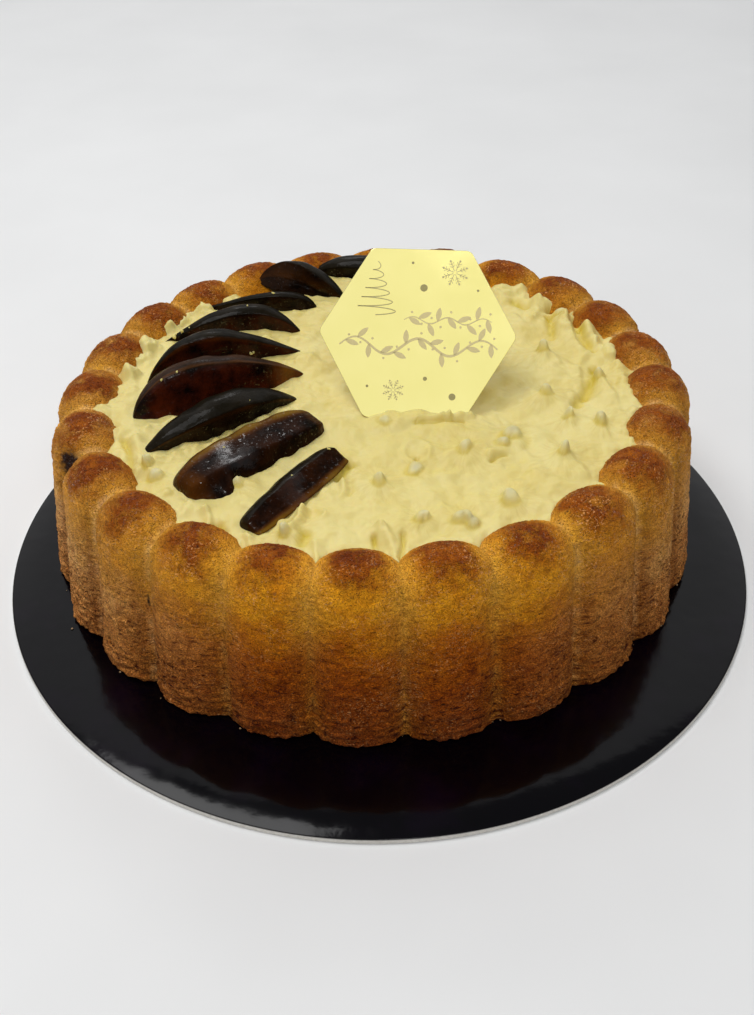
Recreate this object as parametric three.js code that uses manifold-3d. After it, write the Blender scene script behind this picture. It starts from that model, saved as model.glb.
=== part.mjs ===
// A round fluted cake on its thin cake board: a baked crown with a hollow top, filled with
// cream, with fig slices fanned along one side and a tilted hexagonal plaque.
// Millimetres, +Z up. The origin is the centre of the board's underside, +Y is the cake's back.
import * as THREE from "three";
import { mergeVertices } from "three/addons/utils/BufferGeometryUtils.js";
import Module from "manifold-3d";

const wasm = await Module();
wasm.setup();

// ---------------------------------------------------------------- driving dimensions

const GAP = 0.3; // clearance kept between pieces that touch

const BOARD = { radius: 140, thickness: 2, segments: 64 };

const CAKE = {
  x: -2, // centre on the board
  y: 14.5,
  flutes: 24,
  columnsPerFlute: 6,
  firstFlute: -0.05, // turn of the front flute from straight ahead, radians
  baseRadius: 121.5, // outside radius at the crest of a flute
  shoulderRadius: 115.5,
  innerRadius: 90.5,
  crestHeight: 66, // above the board
  capHeight: 13, // rounded top of a flute
  baseGroove: 5.3, // depth of the valley between two flutes
  wallGroove: 4.4,
  innerGroove: 4.6,
  topNotch: 5.1,
  widening: 0.016, // the crown is this much wider from side to side, and narrower in depth
  slope: 0.035, // the right side stands this much higher than the middle
  wellFloor: 46, // height of the hollow's floor, which the cream hides
  wellTaper: 3,
};

const CREAM = { level: 59.6, radius: 101, rings: 6, columns: 48, wave: 0.7 };

// Soft teats pulled up from the cream, and torn lumps at its rim: place on the cake, foot radius,
// height and the way they lean, in degrees.
const PEAK = { sides: 7, tipLean: 0.35 };
const PEAKS = [
  { x: 30.3, y: -25, foot: 3.9, height: 3.1, turn: 90 },
  { x: 14, y: -61.5, foot: 3.9, height: 3.3, turn: 40 },
  { x: 26.8, y: -63, foot: 4.3, height: 2.8, turn: 120 },
  { x: 29.6, y: -65, foot: 4, height: 2.2, turn: -40 },
  { x: 43, y: -53.5, foot: 4.5, height: 3.3, turn: 100 },
  { x: 0.5, y: -41, foot: 3.9, height: 2.6, turn: 90 },
  { x: 12.8, y: -33.6, foot: 4.5, height: 2.2, turn: -60 },
  { x: 47.4, y: -17, foot: 4.7, height: 2.5, turn: 60 },
  { x: 43.6, y: -22, foot: 3.6, height: 1.9, turn: 0 },
  { x: 61.7, y: 6, foot: 3.6, height: 3.6, turn: 90 },
  { x: 68, y: -7.5, foot: 3.4, height: 3.4, turn: 60 },
  { x: 78.9, y: -12, foot: 3.9, height: 3.9, turn: 110 },
  { x: 63.5, y: -30, foot: 3.5, height: 3.7, turn: 60 },
  { x: 64.5, y: 35.5, foot: 3.6, height: 3.7, turn: 90 },
  { x: 83, y: 18.5, foot: 3.6, height: 3.6, turn: 120 },
  { x: 74.5, y: 65, foot: 3.9, height: 3, turn: 60 },
  { x: 3, y: -6.5, foot: 3.8, height: 1.5, turn: -90 },
  { x: -29.6, y: -67, foot: 3.5, height: 3.1, turn: 200 },
  { x: -28, y: -76.5, foot: 3.2, height: 2.6, turn: 90 },
  { x: -78.3, y: -28.5, foot: 3.4, height: 3.7, turn: 150 },
  { x: -75, y: -34.5, foot: 3.9, height: 2.8, turn: 100 },
  { x: -46.5, y: -42, foot: 3.1, height: 2.6, turn: 150 },
  { x: -84, y: 64, foot: 5, height: 3.6, turn: 150 },
  { x: -89, y: 49, foot: 4.8, height: 3.4, turn: 160 },
  { x: -92, y: 32, foot: 4.2, height: 3, turn: 170 },
  { x: 51, y: 103, foot: 5.5, height: 2.8, turn: 60 },
  { x: 73, y: 78, foot: 5.5, height: 3, turn: 45 },
  { x: 83, y: 50, foot: 4.6, height: 2.8, turn: 30 },
];

// Each slice is a wedge of a candied fig lying in the cream. x and y are the middle of its
// length on the cake and turn is the heading of its length. rise is how far it stands clear of
// the cream, and bow how far its middle bends back. A positive skew makes it thicker towards its
// far end, and a low taper blunts its tips. The knife cut flat faces across its round skin: their
// edges are angles counted from the back of the slice over its top, from its ridge to its foot.
// twist turns them towards the far end. climb is how much higher the near end lies.
const FIG = { sides: 10, steps: 8, tipDepth: 1.5, heel: 300, sunk: 4, block: 30 };
const FIG_SLICES = [
  {
    place: { x: -29.8, y: 89.8, turn: -22 },
    body: { length: 41, radius: 8, rise: 10, bow: 3, skew: -0.15, taper: 0.7 },
    cut: { edges: [96, 238], twist: 22 },
    climb: 4.5,
  },
  {
    place: { x: -5, y: 103, turn: -12 },
    body: { length: 42, radius: 7, rise: 9.5, bow: 1, skew: 0.1, taper: 0.4 },
    cut: { edges: [140, 232] },
  },
  {
    place: { x: -51, y: 79.5, turn: -3 },
    body: { length: 56, radius: 4, rise: 5.8, bow: 1, skew: 0.85, taper: 0.5 },
    cut: { edges: [118, 232] },
  },
  {
    place: { x: -56, y: 57, turn: 3 },
    body: { length: 56, radius: 7, rise: 9.5, bow: 6, skew: 0.4, taper: 0.9 },
    cut: { edges: [128, 240], twist: -8 },
  },
  {
    place: { x: -56, y: 35, turn: 17 },
    body: { length: 64, radius: 7.5, rise: 12.5, bow: 5, skew: -0.4, taper: 0.9 },
    cut: { edges: [116, 242], twist: 14 },
  },
  {
    place: { x: -57, y: 14.5, turn: 24 },
    body: { length: 68, radius: 12.5, rise: 14, bow: 3, skew: -0.3, taper: 0.65 },
    cut: { edges: [104, 230], twist: 6 },
  },
  {
    place: { x: -56, y: -4.5, turn: 32 },
    body: { length: 67, radius: 10.5, rise: 11.5, bow: 0, skew: 0.2, taper: 0.9 },
    cut: { edges: [126, 240] },
  },
  {
    place: { x: -42.4, y: -25.2, turn: 45 },
    body: { length: 59, radius: 14.6, rise: 9.8, bow: 0.5, skew: -0.06, taper: 0.2 },
    cut: { edges: [62, 120, 206], twist: 10 },
  },
  {
    place: { x: -27.4, y: -44.4, turn: 55 },
    body: { length: 48.5, radius: 7.8, rise: 5.6, bow: 0, skew: 0.06, taper: 0.15 },
    cut: { edges: [84, 158] },
  },
];

const PLAQUE = {
  side: 35.8, // also the radius to a corner
  thickness: 1.0,
  cornerRadius: 4,
  x: 13.3, // middle of the edge that meets the cream
  y: -2.1,
  lean: 43, // back from upright, degrees
  turn: -6,
  sunk: 2.5, // how far the lower edge goes into the cream
};

// ---------------------------------------------------------------- small helpers

const radians = THREE.MathUtils.degToRad;

// One closed net of triangles with shared corners, and no faces shrunk to a line.
function welded(geometry) {
  const bare = geometry.clone();
  bare.deleteAttribute("normal");
  bare.deleteAttribute("uv");
  const merged = mergeVertices(bare, 1e-4);
  const corners = Array.from(merged.index.array);
  const kept = [];
  for (let i = 0; i < corners.length; i += 3) {
    const [a, b, c] = corners.slice(i, i + 3);
    if (a !== b && b !== c && c !== a) kept.push(a, b, c);
  }
  merged.setIndex(kept);
  return merged;
}

function toSolid(geometry) {
  const net = welded(geometry);
  const mesh = new wasm.Mesh({
    numProp: 3,
    vertProperties: new Float32Array(net.attributes.position.array),
    triVerts: new Uint32Array(net.index.array),
  });
  return new wasm.Manifold(mesh);
}

function toGeometry(solid) {
  const { vertProperties, triVerts } = solid.getMesh();
  const geometry = new THREE.BufferGeometry();
  geometry.setAttribute("position", new THREE.BufferAttribute(vertProperties, 3));
  geometry.setIndex(new THREE.BufferAttribute(triVerts, 1));
  geometry.computeVertexNormals();
  return geometry;
}

// A lathe's closed net, with every corner then put where place(column, station) says.
function shapedLathe(columns, stations, place) {
  const profile = stations.map((_, i) => new THREE.Vector2(i, i));
  const geometry = new THREE.LatheGeometry(profile, columns);
  const position = geometry.attributes.position;
  for (let column = 0; column <= columns; column++) {
    stations.forEach((station, i) => {
      const point = place(column % columns, station);
      position.setXYZ(column * stations.length + i, point.x, point.y, point.z);
    });
  }
  return geometry;
}

function named(name, geometry, colour, roughness, metalness = 0) {
  const material = new THREE.MeshStandardMaterial({ color: colour, roughness, metalness });
  const mesh = new THREE.Mesh(geometry, material);
  mesh.name = name;
  return mesh;
}

// ---------------------------------------------------------------- the crown of sponge

// How far a point across a flute has fallen into the valley: 0 at its crest, 1 in the valley.
function grooveShare(across) {
  const roundness = 0.93;
  const full = 1 - Math.sqrt(1 - roundness ** 2);
  return (1 - Math.sqrt(1 - (roundness * across) ** 2)) / full;
}

// Flutes are spaced a little unevenly round the crown.
function unevenTurn(turn) {
  const slow = 0.0101 * Math.sin(turn + 0.715);
  const middle = 0.0108 * Math.sin(2 * turn + 0.205);
  const quick = 0.0099 * Math.sin(3 * turn - 0.509);
  return turn - slow - middle - quick;
}

// One flute is up to this many millimetres taller or shorter than the next.
function fluteLift(flute) {
  return 0.5 * Math.sin(2.4 * flute) + 0.3 * Math.sin(5.1 * flute + 1);
}

// Profile from the middle of the underside, up the wall, over the rim and into the hollow.
// round is an angle over the rounded rim, and axis is a height on the middle line.
const CROWN_STATIONS = [
  { axis: 0 },
  { foot: true },
  ...[0, 30, 60, 90, 120, 150, 180].map((degrees) => ({ round: radians(degrees) })),
  { well: true },
  { axis: CAKE.wellFloor },
];

function crownPoint(column, station, grow) {
  const flute = Math.floor(column / CAKE.columnsPerFlute);
  const across = ((column % CAKE.columnsPerFlute) / CAKE.columnsPerFlute) * 2 - 1;
  const groove = grooveShare(across);
  const pitch = (2 * Math.PI) / CAKE.flutes;
  const turn = -Math.PI / 2 + (flute + across / 2) * pitch + CAKE.firstFlute;
  const shoulder = CAKE.crestHeight - CAKE.capHeight;
  const outer = CAKE.shoulderRadius - CAKE.wallGroove * groove + grow;
  const inner = CAKE.innerRadius + CAKE.innerGroove * groove - grow;
  const lift = fluteLift(flute) * (1 - groove);
  let radius = 0;
  let height = 0;
  if (station.axis !== undefined) {
    height = station.axis > 0 ? station.axis + grow : -grow;
  } else if (station.foot) {
    radius = CAKE.baseRadius - CAKE.baseGroove * groove + grow;
    height = -grow;
  } else if (station.round !== undefined) {
    const cap = CAKE.capHeight - CAKE.topNotch * groove + lift + grow;
    radius = (outer + inner) / 2 + ((outer - inner) / 2) * Math.cos(station.round);
    height = shoulder + cap * Math.sin(station.round);
  } else {
    radius = inner - CAKE.wellTaper;
    height = CAKE.wellFloor + grow;
  }
  const oval = 1 + CAKE.widening * Math.cos(2 * turn);
  const x = radius * oval * Math.cos(unevenTurn(turn));
  const y = radius * oval * Math.sin(unevenTurn(turn));
  const tilt = 1 + (CAKE.slope * x) / (CAKE.innerRadius + 12.5);
  return new THREE.Vector3(CAKE.x + x, CAKE.y + y, BOARD.thickness + height * tilt);
}

// grow pushes every face out, which gives the space that a neighbour has to keep clear of.
function crownGeometry(grow = 0) {
  const columns = CAKE.flutes * CAKE.columnsPerFlute;
  return shapedLathe(columns, CROWN_STATIONS, (column, station) => crownPoint(column, station, grow));
}

// ---------------------------------------------------------------- fig slices

// Distance from the middle of a slice's section to its edge, as a share of its radius: round
// skin, cut flat between neighbouring edges, and again under the slice between foot and heel.
function figEdge(angle, cut) {
  const edges = [...cut.edges, FIG.heel].map(radians);
  const turned = angle < 0 ? angle + 2 * Math.PI : angle;
  for (let i = 1; i < edges.length; i++) {
    const [from, to] = [edges[i - 1], edges[i]];
    if (turned > from && turned < to) {
      return Math.cos((to - from) / 2) / Math.cos(turned - (from + to) / 2);
    }
  }
  return 1;
}

function creamHeight(x, y) {
  const tilt = 1 + (CAKE.slope * (x - CAKE.x)) / (CAKE.innerRadius + 12.5);
  const wave = Math.sin(x / 17 + 1.2) * Math.cos(y / 14) + 0.6 * Math.sin((x + y) / 9);
  return BOARD.thickness + CREAM.level * tilt + CREAM.wave * wave;
}

// A sphere stretched along the slice, with its poles at the two tips.
function figGeometry({ place, body, cut, climb = 0 }, grow = 0) {
  const geometry = new THREE.SphereGeometry(1, FIG.sides, FIG.steps);
  const position = geometry.attributes.position;
  const heading = radians(place.turn);
  const level = creamHeight(place.x, place.y);
  const twist = radians(cut.twist ?? 0);
  for (let row = 0; row <= FIG.steps; row++) {
    const along = Math.cos((Math.PI * row) / FIG.steps);
    const tip = row === 0 || row === FIG.steps;
    const size = tip ? 0 : (1 - along ** 2) ** body.taper * (1 + body.skew * along);
    const above = (body.rise - body.radius + FIG.tipDepth) * size - FIG.tipDepth;
    const lift = above + (climb * (1 - along)) / 2;
    const lengthwise = along * (body.length / 2 + grow);
    for (let side = 0; side <= FIG.sides; side++) {
      const angle = ((side % FIG.sides) / FIG.sides) * 2 * Math.PI;
      const reach = tip ? 0 : body.radius * size * figEdge(angle - twist * along, cut) + grow;
      const backward = body.bow * size + reach * Math.cos(angle);
      position.setXYZ(
        row * (FIG.sides + 1) + side,
        place.x + lengthwise * Math.cos(heading) - backward * Math.sin(heading),
        place.y + lengthwise * Math.sin(heading) + backward * Math.cos(heading),
        level + lift + reach * Math.sin(angle),
      );
    }
  }
  return geometry;
}

// ---------------------------------------------------------------- plaque

function plaqueOutline(grow) {
  const outline = new THREE.Shape();
  const corner = (i) => {
    const angle = radians(60 * i);
    return new THREE.Vector2(Math.cos(angle), Math.sin(angle)).multiplyScalar(PLAQUE.side + grow);
  };
  for (let i = 0; i < 6; i++) {
    const here = corner(i);
    const inward = (other) => here.clone().lerp(other, PLAQUE.cornerRadius / 2 / PLAQUE.side);
    const start = inward(corner(i + 5));
    const end = inward(corner(i + 1));
    if (i === 0) outline.moveTo(start.x, start.y);
    else outline.lineTo(start.x, start.y);
    outline.quadraticCurveTo(here.x, here.y, end.x, end.y);
  }
  outline.closePath();
  return outline;
}

function plaqueGeometry(grow = 0) {
  const thickness = PLAQUE.thickness + 2 * grow;
  const geometry = new THREE.ExtrudeGeometry(plaqueOutline(grow), {
    depth: thickness,
    bevelEnabled: false,
    curveSegments: 4,
  });
  const halfHeight = (PLAQUE.side * Math.sqrt(3)) / 2;
  geometry.translate(0, halfHeight - PLAQUE.sunk, -thickness / 2);
  geometry.rotateX(radians(90 - PLAQUE.lean));
  geometry.rotateZ(radians(PLAQUE.turn));
  geometry.translate(PLAQUE.x, PLAQUE.y, creamHeight(PLAQUE.x, PLAQUE.y));
  return geometry;
}

// ---------------------------------------------------------------- cream

function creamDisc() {
  const floor = BOARD.thickness + CAKE.wellFloor - 2;
  const rings = Array.from({ length: CREAM.rings + 1 }, (_, i) => CREAM.rings - i);
  const stations = [{ floor: 0 }, { floor: 1 }, ...rings.map((ring) => ({ ring }))];
  return shapedLathe(CREAM.columns, stations, (column, station) => {
    const turn = (column / CREAM.columns) * 2 * Math.PI;
    const share = station.ring === undefined ? station.floor : station.ring / CREAM.rings;
    const x = CAKE.x + share * CREAM.radius * Math.cos(turn);
    const y = CAKE.y + share * CREAM.radius * Math.sin(turn);
    return new THREE.Vector3(x, y, station.ring === undefined ? floor : creamHeight(x, y));
  });
}

// A soft cone with a teat at its tip, leaning the way it was pulled.
function peakGeometry(peak) {
  const outline = [
    [0, -1],
    [peak.foot, -1],
    [peak.foot * 0.5, peak.height * 0.4],
    [peak.foot * 0.26, peak.height * 0.9],
    [0, peak.height],
  ];
  const level = creamHeight(peak.x, peak.y);
  return shapedLathe(PEAK.sides, outline, (column, [radius, height]) => {
    const turn = (column / PEAK.sides) * 2 * Math.PI;
    const lean = (PEAK.tipLean * Math.max(height, 0) ** 2) / peak.height;
    const pull = radians(peak.turn);
    return new THREE.Vector3(
      peak.x + radius * Math.cos(turn) + lean * Math.cos(pull),
      peak.y + radius * Math.sin(turn) + lean * Math.sin(pull),
      level + height,
    );
  });
}

// The slice down to where it lies in the cream: what a block below it would hold is cut off.
function figSolid(slice, grow = 0) {
  const block = new THREE.BoxGeometry(slice.body.length * 2, slice.body.length * 2, FIG.block);
  const top = creamHeight(slice.place.x, slice.place.y) - FIG.sunk - grow;
  block.translate(slice.place.x, slice.place.y, top - FIG.block / 2);
  return toSolid(figGeometry(slice, grow)).subtract(toSolid(block));
}

// Every slice keeps clear of the crown and of the slices listed before it.
function figSolids() {
  const crown = toSolid(crownGeometry(GAP));
  return FIG_SLICES.map((slice, i) =>
    FIG_SLICES.slice(0, i).reduce(
      (solid, earlier) => solid.subtract(figSolid(earlier, GAP)),
      figSolid(slice).subtract(crown),
    ),
  );
}

function creamSolid() {
  let cream = toSolid(creamDisc());
  for (const peak of PEAKS) {
    cream = cream.add(toSolid(peakGeometry(peak)));
  }
  cream = cream.subtract(toSolid(crownGeometry(GAP)));
  for (const slice of FIG_SLICES) {
    cream = cream.subtract(figSolid(slice, GAP));
  }
  cream = cream.subtract(toSolid(plaqueGeometry(GAP)));
  // The cuts can leave a loose scrap beside the rim: only the filling itself stays.
  return cream.decompose().reduce((most, body) => (body.volume() > most.volume() ? body : most));
}

// ---------------------------------------------------------------- assembly

function boardGeometry() {
  const outline = [
    new THREE.Vector2(0, 0),
    new THREE.Vector2(BOARD.radius, 0),
    new THREE.Vector2(BOARD.radius, BOARD.thickness),
    new THREE.Vector2(0, BOARD.thickness),
  ];
  return new THREE.LatheGeometry(outline, BOARD.segments).rotateX(Math.PI / 2);
}

const group = new THREE.Group();
group.add(named("board", boardGeometry(), 0x17151a, 0.25));
group.add(named("sponge", welded(crownGeometry()), 0xb9712c, 0.8));
group.add(named("cream", toGeometry(creamSolid()), 0xf4e3a0, 0.5));
figSolids().forEach((solid, i) => {
  group.add(named(`fig_slice_${i + 1}`, toGeometry(solid), 0x2a140c, 0.25));
});
group.add(named("plaque", plaqueGeometry(), 0xf2e193, 0.15, 1));

export default group;
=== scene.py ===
"""A fluted fig cake on a thin black cake board: sponge crown, cream, nine fig slices, gold plaque.

Metres, +Z up. The origin is the centre of the board's underside and +Y is the cake's back.
"""

import math
from math import radians

import bpy
import numpy as np
from mathutils import Matrix, Vector


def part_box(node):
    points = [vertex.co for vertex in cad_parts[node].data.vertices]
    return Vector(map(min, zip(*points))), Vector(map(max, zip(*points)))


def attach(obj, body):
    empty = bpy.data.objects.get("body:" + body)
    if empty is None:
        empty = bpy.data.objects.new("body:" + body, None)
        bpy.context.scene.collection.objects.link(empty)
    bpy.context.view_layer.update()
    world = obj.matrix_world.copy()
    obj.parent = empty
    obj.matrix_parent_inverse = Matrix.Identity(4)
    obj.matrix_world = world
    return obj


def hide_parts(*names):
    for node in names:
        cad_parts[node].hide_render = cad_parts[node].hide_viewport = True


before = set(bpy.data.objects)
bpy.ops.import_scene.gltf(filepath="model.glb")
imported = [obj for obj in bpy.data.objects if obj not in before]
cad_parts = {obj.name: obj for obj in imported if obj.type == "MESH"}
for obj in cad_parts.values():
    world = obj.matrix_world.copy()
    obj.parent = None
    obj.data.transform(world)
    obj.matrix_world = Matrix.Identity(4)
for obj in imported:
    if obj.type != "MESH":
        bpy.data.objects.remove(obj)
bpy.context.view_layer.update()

MM = 0.001

# ---------------------------------------------------------------- sizes, in millimetres

SPONGE_BOX = [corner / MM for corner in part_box("sponge")]
BOARD_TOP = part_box("board")[1].z / MM
BOARD_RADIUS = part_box("board")[1].x / MM
CENTRE_X = (SPONGE_BOX[0].x + SPONGE_BOX[1].x) / 2
CENTRE_Y = (SPONGE_BOX[0].y + SPONGE_BOX[1].y) / 2

CROWN = {
    "Flutes": 24,
    "First flute": -0.05,  # turn of the front flute, radians
    "Base radius": 121.5,
    "Shoulder radius": 115.5,
    "Inner radius": 90.5,
    "Shoulder height": 53.0,
    "Cap height": 13.0,
    "Well floor": 46.0,
    "Well taper": 3.0,
    "Base groove": 5.3,
    "Wall groove": 4.4,
    "Inner groove": 4.6,
    "Top notch": 5.1,
    "Widening": 0.016,
    "Slope": 0.035 / 103.0,  # rise per millimetre to the right
    "Foot round": 2.2,
    "Crumb depth": 1.3,
    "Grain depth": 0.45,
    "Crease depth": 1.2,
    "Pit depth": 1.0,
    "Ragged foot": 2.6,
}
CROWN_UNITS = {"Flutes": 1, "First flute": 1, "Widening": 1, "Slope": 1 / MM}  # the rest are millimetres
GROOVE_ROUNDNESS = 0.93
VALLEY_ROUNDING = 0.07  # softens the very bottom of each valley

# The flutes are a little unevenly spaced: waves round the cake, start and size in radians.
WANDER = [(1, 0.715, 0.0101), (2, 0.205, 0.0108), (3, -0.509, 0.0099)]

# Marks in the crust: place, half width, half height and depth. The first is fruit baked into a
# flute, the next a slit in a valley, and the others are pits.
CRUST_MARKS = [
    (-107.4, -22.9, 58.0, 7.6, 7.2, 1.4),
    (-75.1, -71.4, 37.0, 1.0, 4.6, 1.0),
    (-44.4, -94.6, 19.9, 1.1, 0.8, 1.4),
    (19.5, -100.8, 18.1, 1.2, 0.8, 1.4),
]

# Rows of faces along the crown's profile, and columns round it.
CROWN_ROWS = {"under": 3, "wall": 82, "rim": 52, "inside": 5, "floor": 2}
COLUMNS_PER_FLUTE = 26

# The cream's level above the board, its rows of faces, and how far it laps over the crust. lumps
# are height, size and seed. skirt is its hidden side: rings pushed outwards from the hollow's side,
# and their height.
CREAM = {
    "level": 59.6,
    "wave": 0.7,
    "cells": 300,
    "overlap": 5.5,
    "lumps": [(1.2, 24, 11), (1.2, 10, 17), (0.4, 4.5, 29)],
    "skirt": [(-0.2, 55.0), (-3.2, 48.2)],
}

# Knobs pulled up from the cream: place, width, height, reach of the low tent round it, and the
# heading its tip leans to.
KNOBS = [
    (30.3, -25, 3.4, 3.6, 10, 90),
    (14.0, -61.5, 3.4, 3.8, 6, 40),
    (26.8, -63, 4.0, 3.2, 7, 120),
    (29.6, -65, 3.6, 2.4, 5, -40),
    (43, -53.5, 4.2, 3.8, 7, 100),
    (0.5, -41, 3.4, 3.0, 8, 90),
    (12.8, -33.6, 4.2, 2.4, 5, -60),
    (47.4, -17, 4.6, 2.8, 9, 60),
    (43.6, -22, 3.0, 2.0, 5, 0),
    (61.7, 6.0, 3.0, 4.2, 11, 90),
    (68, -7.5, 2.6, 4.0, 9, 60),
    (78.9, -12, 3.4, 4.6, 8, 110),
    (63.5, -30, 2.8, 4.4, 10, 60),
    (64.5, 35.5, 3.0, 4.4, 13, 90),
    (83, 18.5, 3.0, 4.2, 9, 120),
    (74.5, 65, 3.4, 3.4, 8, 60),
    (3, -6.5, 3.2, 1.6, 4, -90),
    (-29.6, -67, 2.8, 3.6, 7, 200),
    (-28, -76.5, 2.4, 3.0, 4, 90),
    (-78.3, -28.5, 2.6, 4.4, 9, 150),
    (-75, -34.5, 3.4, 3.2, 6, 100),
    (-46.5, -42.0, 2.2, 3.0, 5, 150),
]

# Torn lumps where the cream climbs the crust: place, radius and height.
CLIMBS = [
    (-84.6, 66, 5.0, 3.4),
    (-79, 72, 3.4, 2.2),
    (-89, 51, 4.8, 3.2),
    (-92.5, 43, 3.0, 2.2),
    (-94, 32, 4.0, 2.8),
    (-71, 81, 4.6, 2.6),
    (-60, 88, 5.0, 1.8),
    (50, 105, 7.0, 2.6),
    (57, 88, 6.0, 2.4),
    (74, 79, 6.0, 2.6),
    (84, 50, 4.6, 2.4),
    (90, 34, 4.0, 2.2),
    (93, 12, 4.4, 1.8),
    (-92, -8, 4.0, 1.6),
]

# Oval rings left by a lifted knife: middle, half width, half length, height and width of the rim.
RINGS = [
    (13.8, -24.0, 4.4, 6.4, 0.9, 1.1),
    (-21.5, -57.5, 4.4, 3.0, 0.9, 1.0),
]

# Ridges and, below zero, grooves left by the knife: start, end, bend to the left, height at the
# start, width, and how steep one side is: the left above zero, the right below.
RIDGES = [
    (1.0, -42, 5.5, -50, 1.0, 1.1, 1.5, 0.0),
    (0.8, -65, 4.8, -84, 1.0, 3.0, 1.9, 0.0),
    (-1.4, -69, 3.4, -85, -0.9, -1.9, 1.0, 0.0),
    (7.6, -68, 6.4, -81, 0.6, -1.6, 0.8, 0.0),
    (13.7, -27.0, 13.2, -30.5, 0.0, -1.8, 0.7, 0.0),
    (38.8, -31.2, 44.6, -28.2, 0.4, -1.8, 0.7, 0.0),
    (38.0, -28.6, 45.6, -25.4, 0.6, 0.9, 1.4, 0.0),
    (51, -17, 51.5, -24, 1.0, -1.0, 1.8, 0.0),
    (68.6, -7, 66.5, -19, 0.5, 1.3, 3.0, -0.75),
    (64.2, -30, 68.5, -41, 0.6, 1.4, 3.2, 0.8),
    (63.5, -30, 54, -40, -1.0, 0.8, 3.0, 0.0),
    (79.4, -13, 80.5, -22, 0.0, 1.0, 2.4, 0.8),
    (64.5, 35, 52, 22, -2.0, 1.1, 3.0, -0.3),
    (64.5, 35, 70.5, 22, 1.5, 1.2, 2.6, 0.6),
    (61.9, 6, 66.5, -3, 0.8, 0.9, 2.6, 0.6),
    (83.2, 18, 86.5, -6, 1.0, 2.1, 3.0, 0.85),
    (82.5, 26, 72.5, 1, 1.6, -2.4, 2.2, 0.0),
    (76.0, 24, 68.5, 0, 2.0, 2.2, 3.4, 0.8),
    (62.5, 60, 66.0, 76, -2.0, 2.2, 2.2, -0.6),
    (66.0, 76, 79.5, 75, -3.0, 3.8, 3.0, 0.0),
    (79.5, 76, 78.6, 63, -1.0, 2.6, 2.4, 0.0),
    (71.5, 69, 77.5, 67.5, 0.0, -4.6, 2.2, 0.0),
    (73.6, 64, 72.4, 41, 0.6, 1.3, 3.0, -0.3),
    (70.0, 63, 69.0, 47, 0.4, -2.2, 1.8, 0.0),
    (77.0, 61, 80.0, 34, -1.6, 3.8, 2.6, 0.9),
    (80.5, 60, 83.5, 36, -1.4, -2.4, 1.8, 0.0),
    (50, 85, 63, 77, -3.0, 2.2, 3.4, -0.3),
    (57.5, 77.5, 61.5, 73, 0.0, -2.4, 2.6, 0.0),
    (82, 55, 91.5, 28, -1.6, 2.0, 3.0, 0.3),
    (91.5, 26, 93.5, -4, -1.4, 2.2, 2.8, 0.3),
    (92.5, -6, 88.0, -34, -2.0, 1.6, 2.8, 0.3),
    (-24.6, -55, -30.2, -67, 1.0, 2.6, 1.8, -0.4),
    (-23.4, -66, -24.4, -72, 0.6, -2.6, 2.2, 0.0),
    (-20.0, -72, -19.0, -86, 0.4, 1.4, 2.2, -0.6),
    (-55.8, -54.5, -55.6, -63.5, 1.4, 2.4, 1.6, 0.5),
    (-51.6, -61, -50.0, -66, 0.4, -2.4, 2.0, 0.0),
    (-42.0, -67, -39.0, -76, 0.5, 1.6, 1.8, -0.5),
    (-11.6, -40.5, -12.2, -47.5, 0.6, 2.0, 1.3, 0.0),
    (-8.8, -40.5, -9.4, -47, 0.4, -1.0, 1.1, 0.0),
    (-9.5, -30, -13.5, -37, 0.0, -2.8, 2.4, 0.0),
    (-89.5, -12, -84, -32, 1.0, -1.8, 1.4, 0.0),
    (-86.0, -12, -80.5, -30, 1.0, 1.6, 2.0, -0.3),
    (-78.5, -29, -74.5, -40, 0.6, 1.2, 2.0, -0.5),
    (-48.8, -37, -40.0, -43, -0.6, 1.6, 1.8, 0.3),
    (-85, 67, -78, 60, 0.0, 2.0, 2.6, 0.0),
    (-90, 52, -88, 38, 0.6, 2.2, 2.4, 0.5),
    (-94.5, 33, -90, 18, 0.6, 2.2, 2.2, 0.5),
    (-72, 82, -62, 88, 0.6, 1.8, 2.6, 0.0),
    (34, -4.4, 24, -5.4, -0.3, 3.6, 1.2, -0.6),
    (26, -5.6, 14, -6.6, 0.2, 3.0, 1.1, -0.6),
    (31, -7.6, 14, -8.2, 0.0, -2.0, 0.9, 0.0),
    (-8, -12, -22, -4, -2.0, 1.0, 3.4, 0.4),
    (86, 44, 74, 26, 1.4, 1.8, 2.6, 0.7),
    (60, 92, 72, 80, -2.0, 1.8, 2.4, 0.5),
    (56, 62, 60, 46, 1.0, 1.2, 4.0, 0.5),
    (48, 20, 56, 6, 1.0, 1.0, 4.0, -0.4),
    (-35, -58, -44, -53, 0.6, 1.6, 2.4, 0.5),
    (-62, -50, -68, -60, 0.8, 1.8, 2.0, -0.5),
    (-70, -44, -79, -50, 0.6, 1.6, 2.2, 0.4),
]

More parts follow.
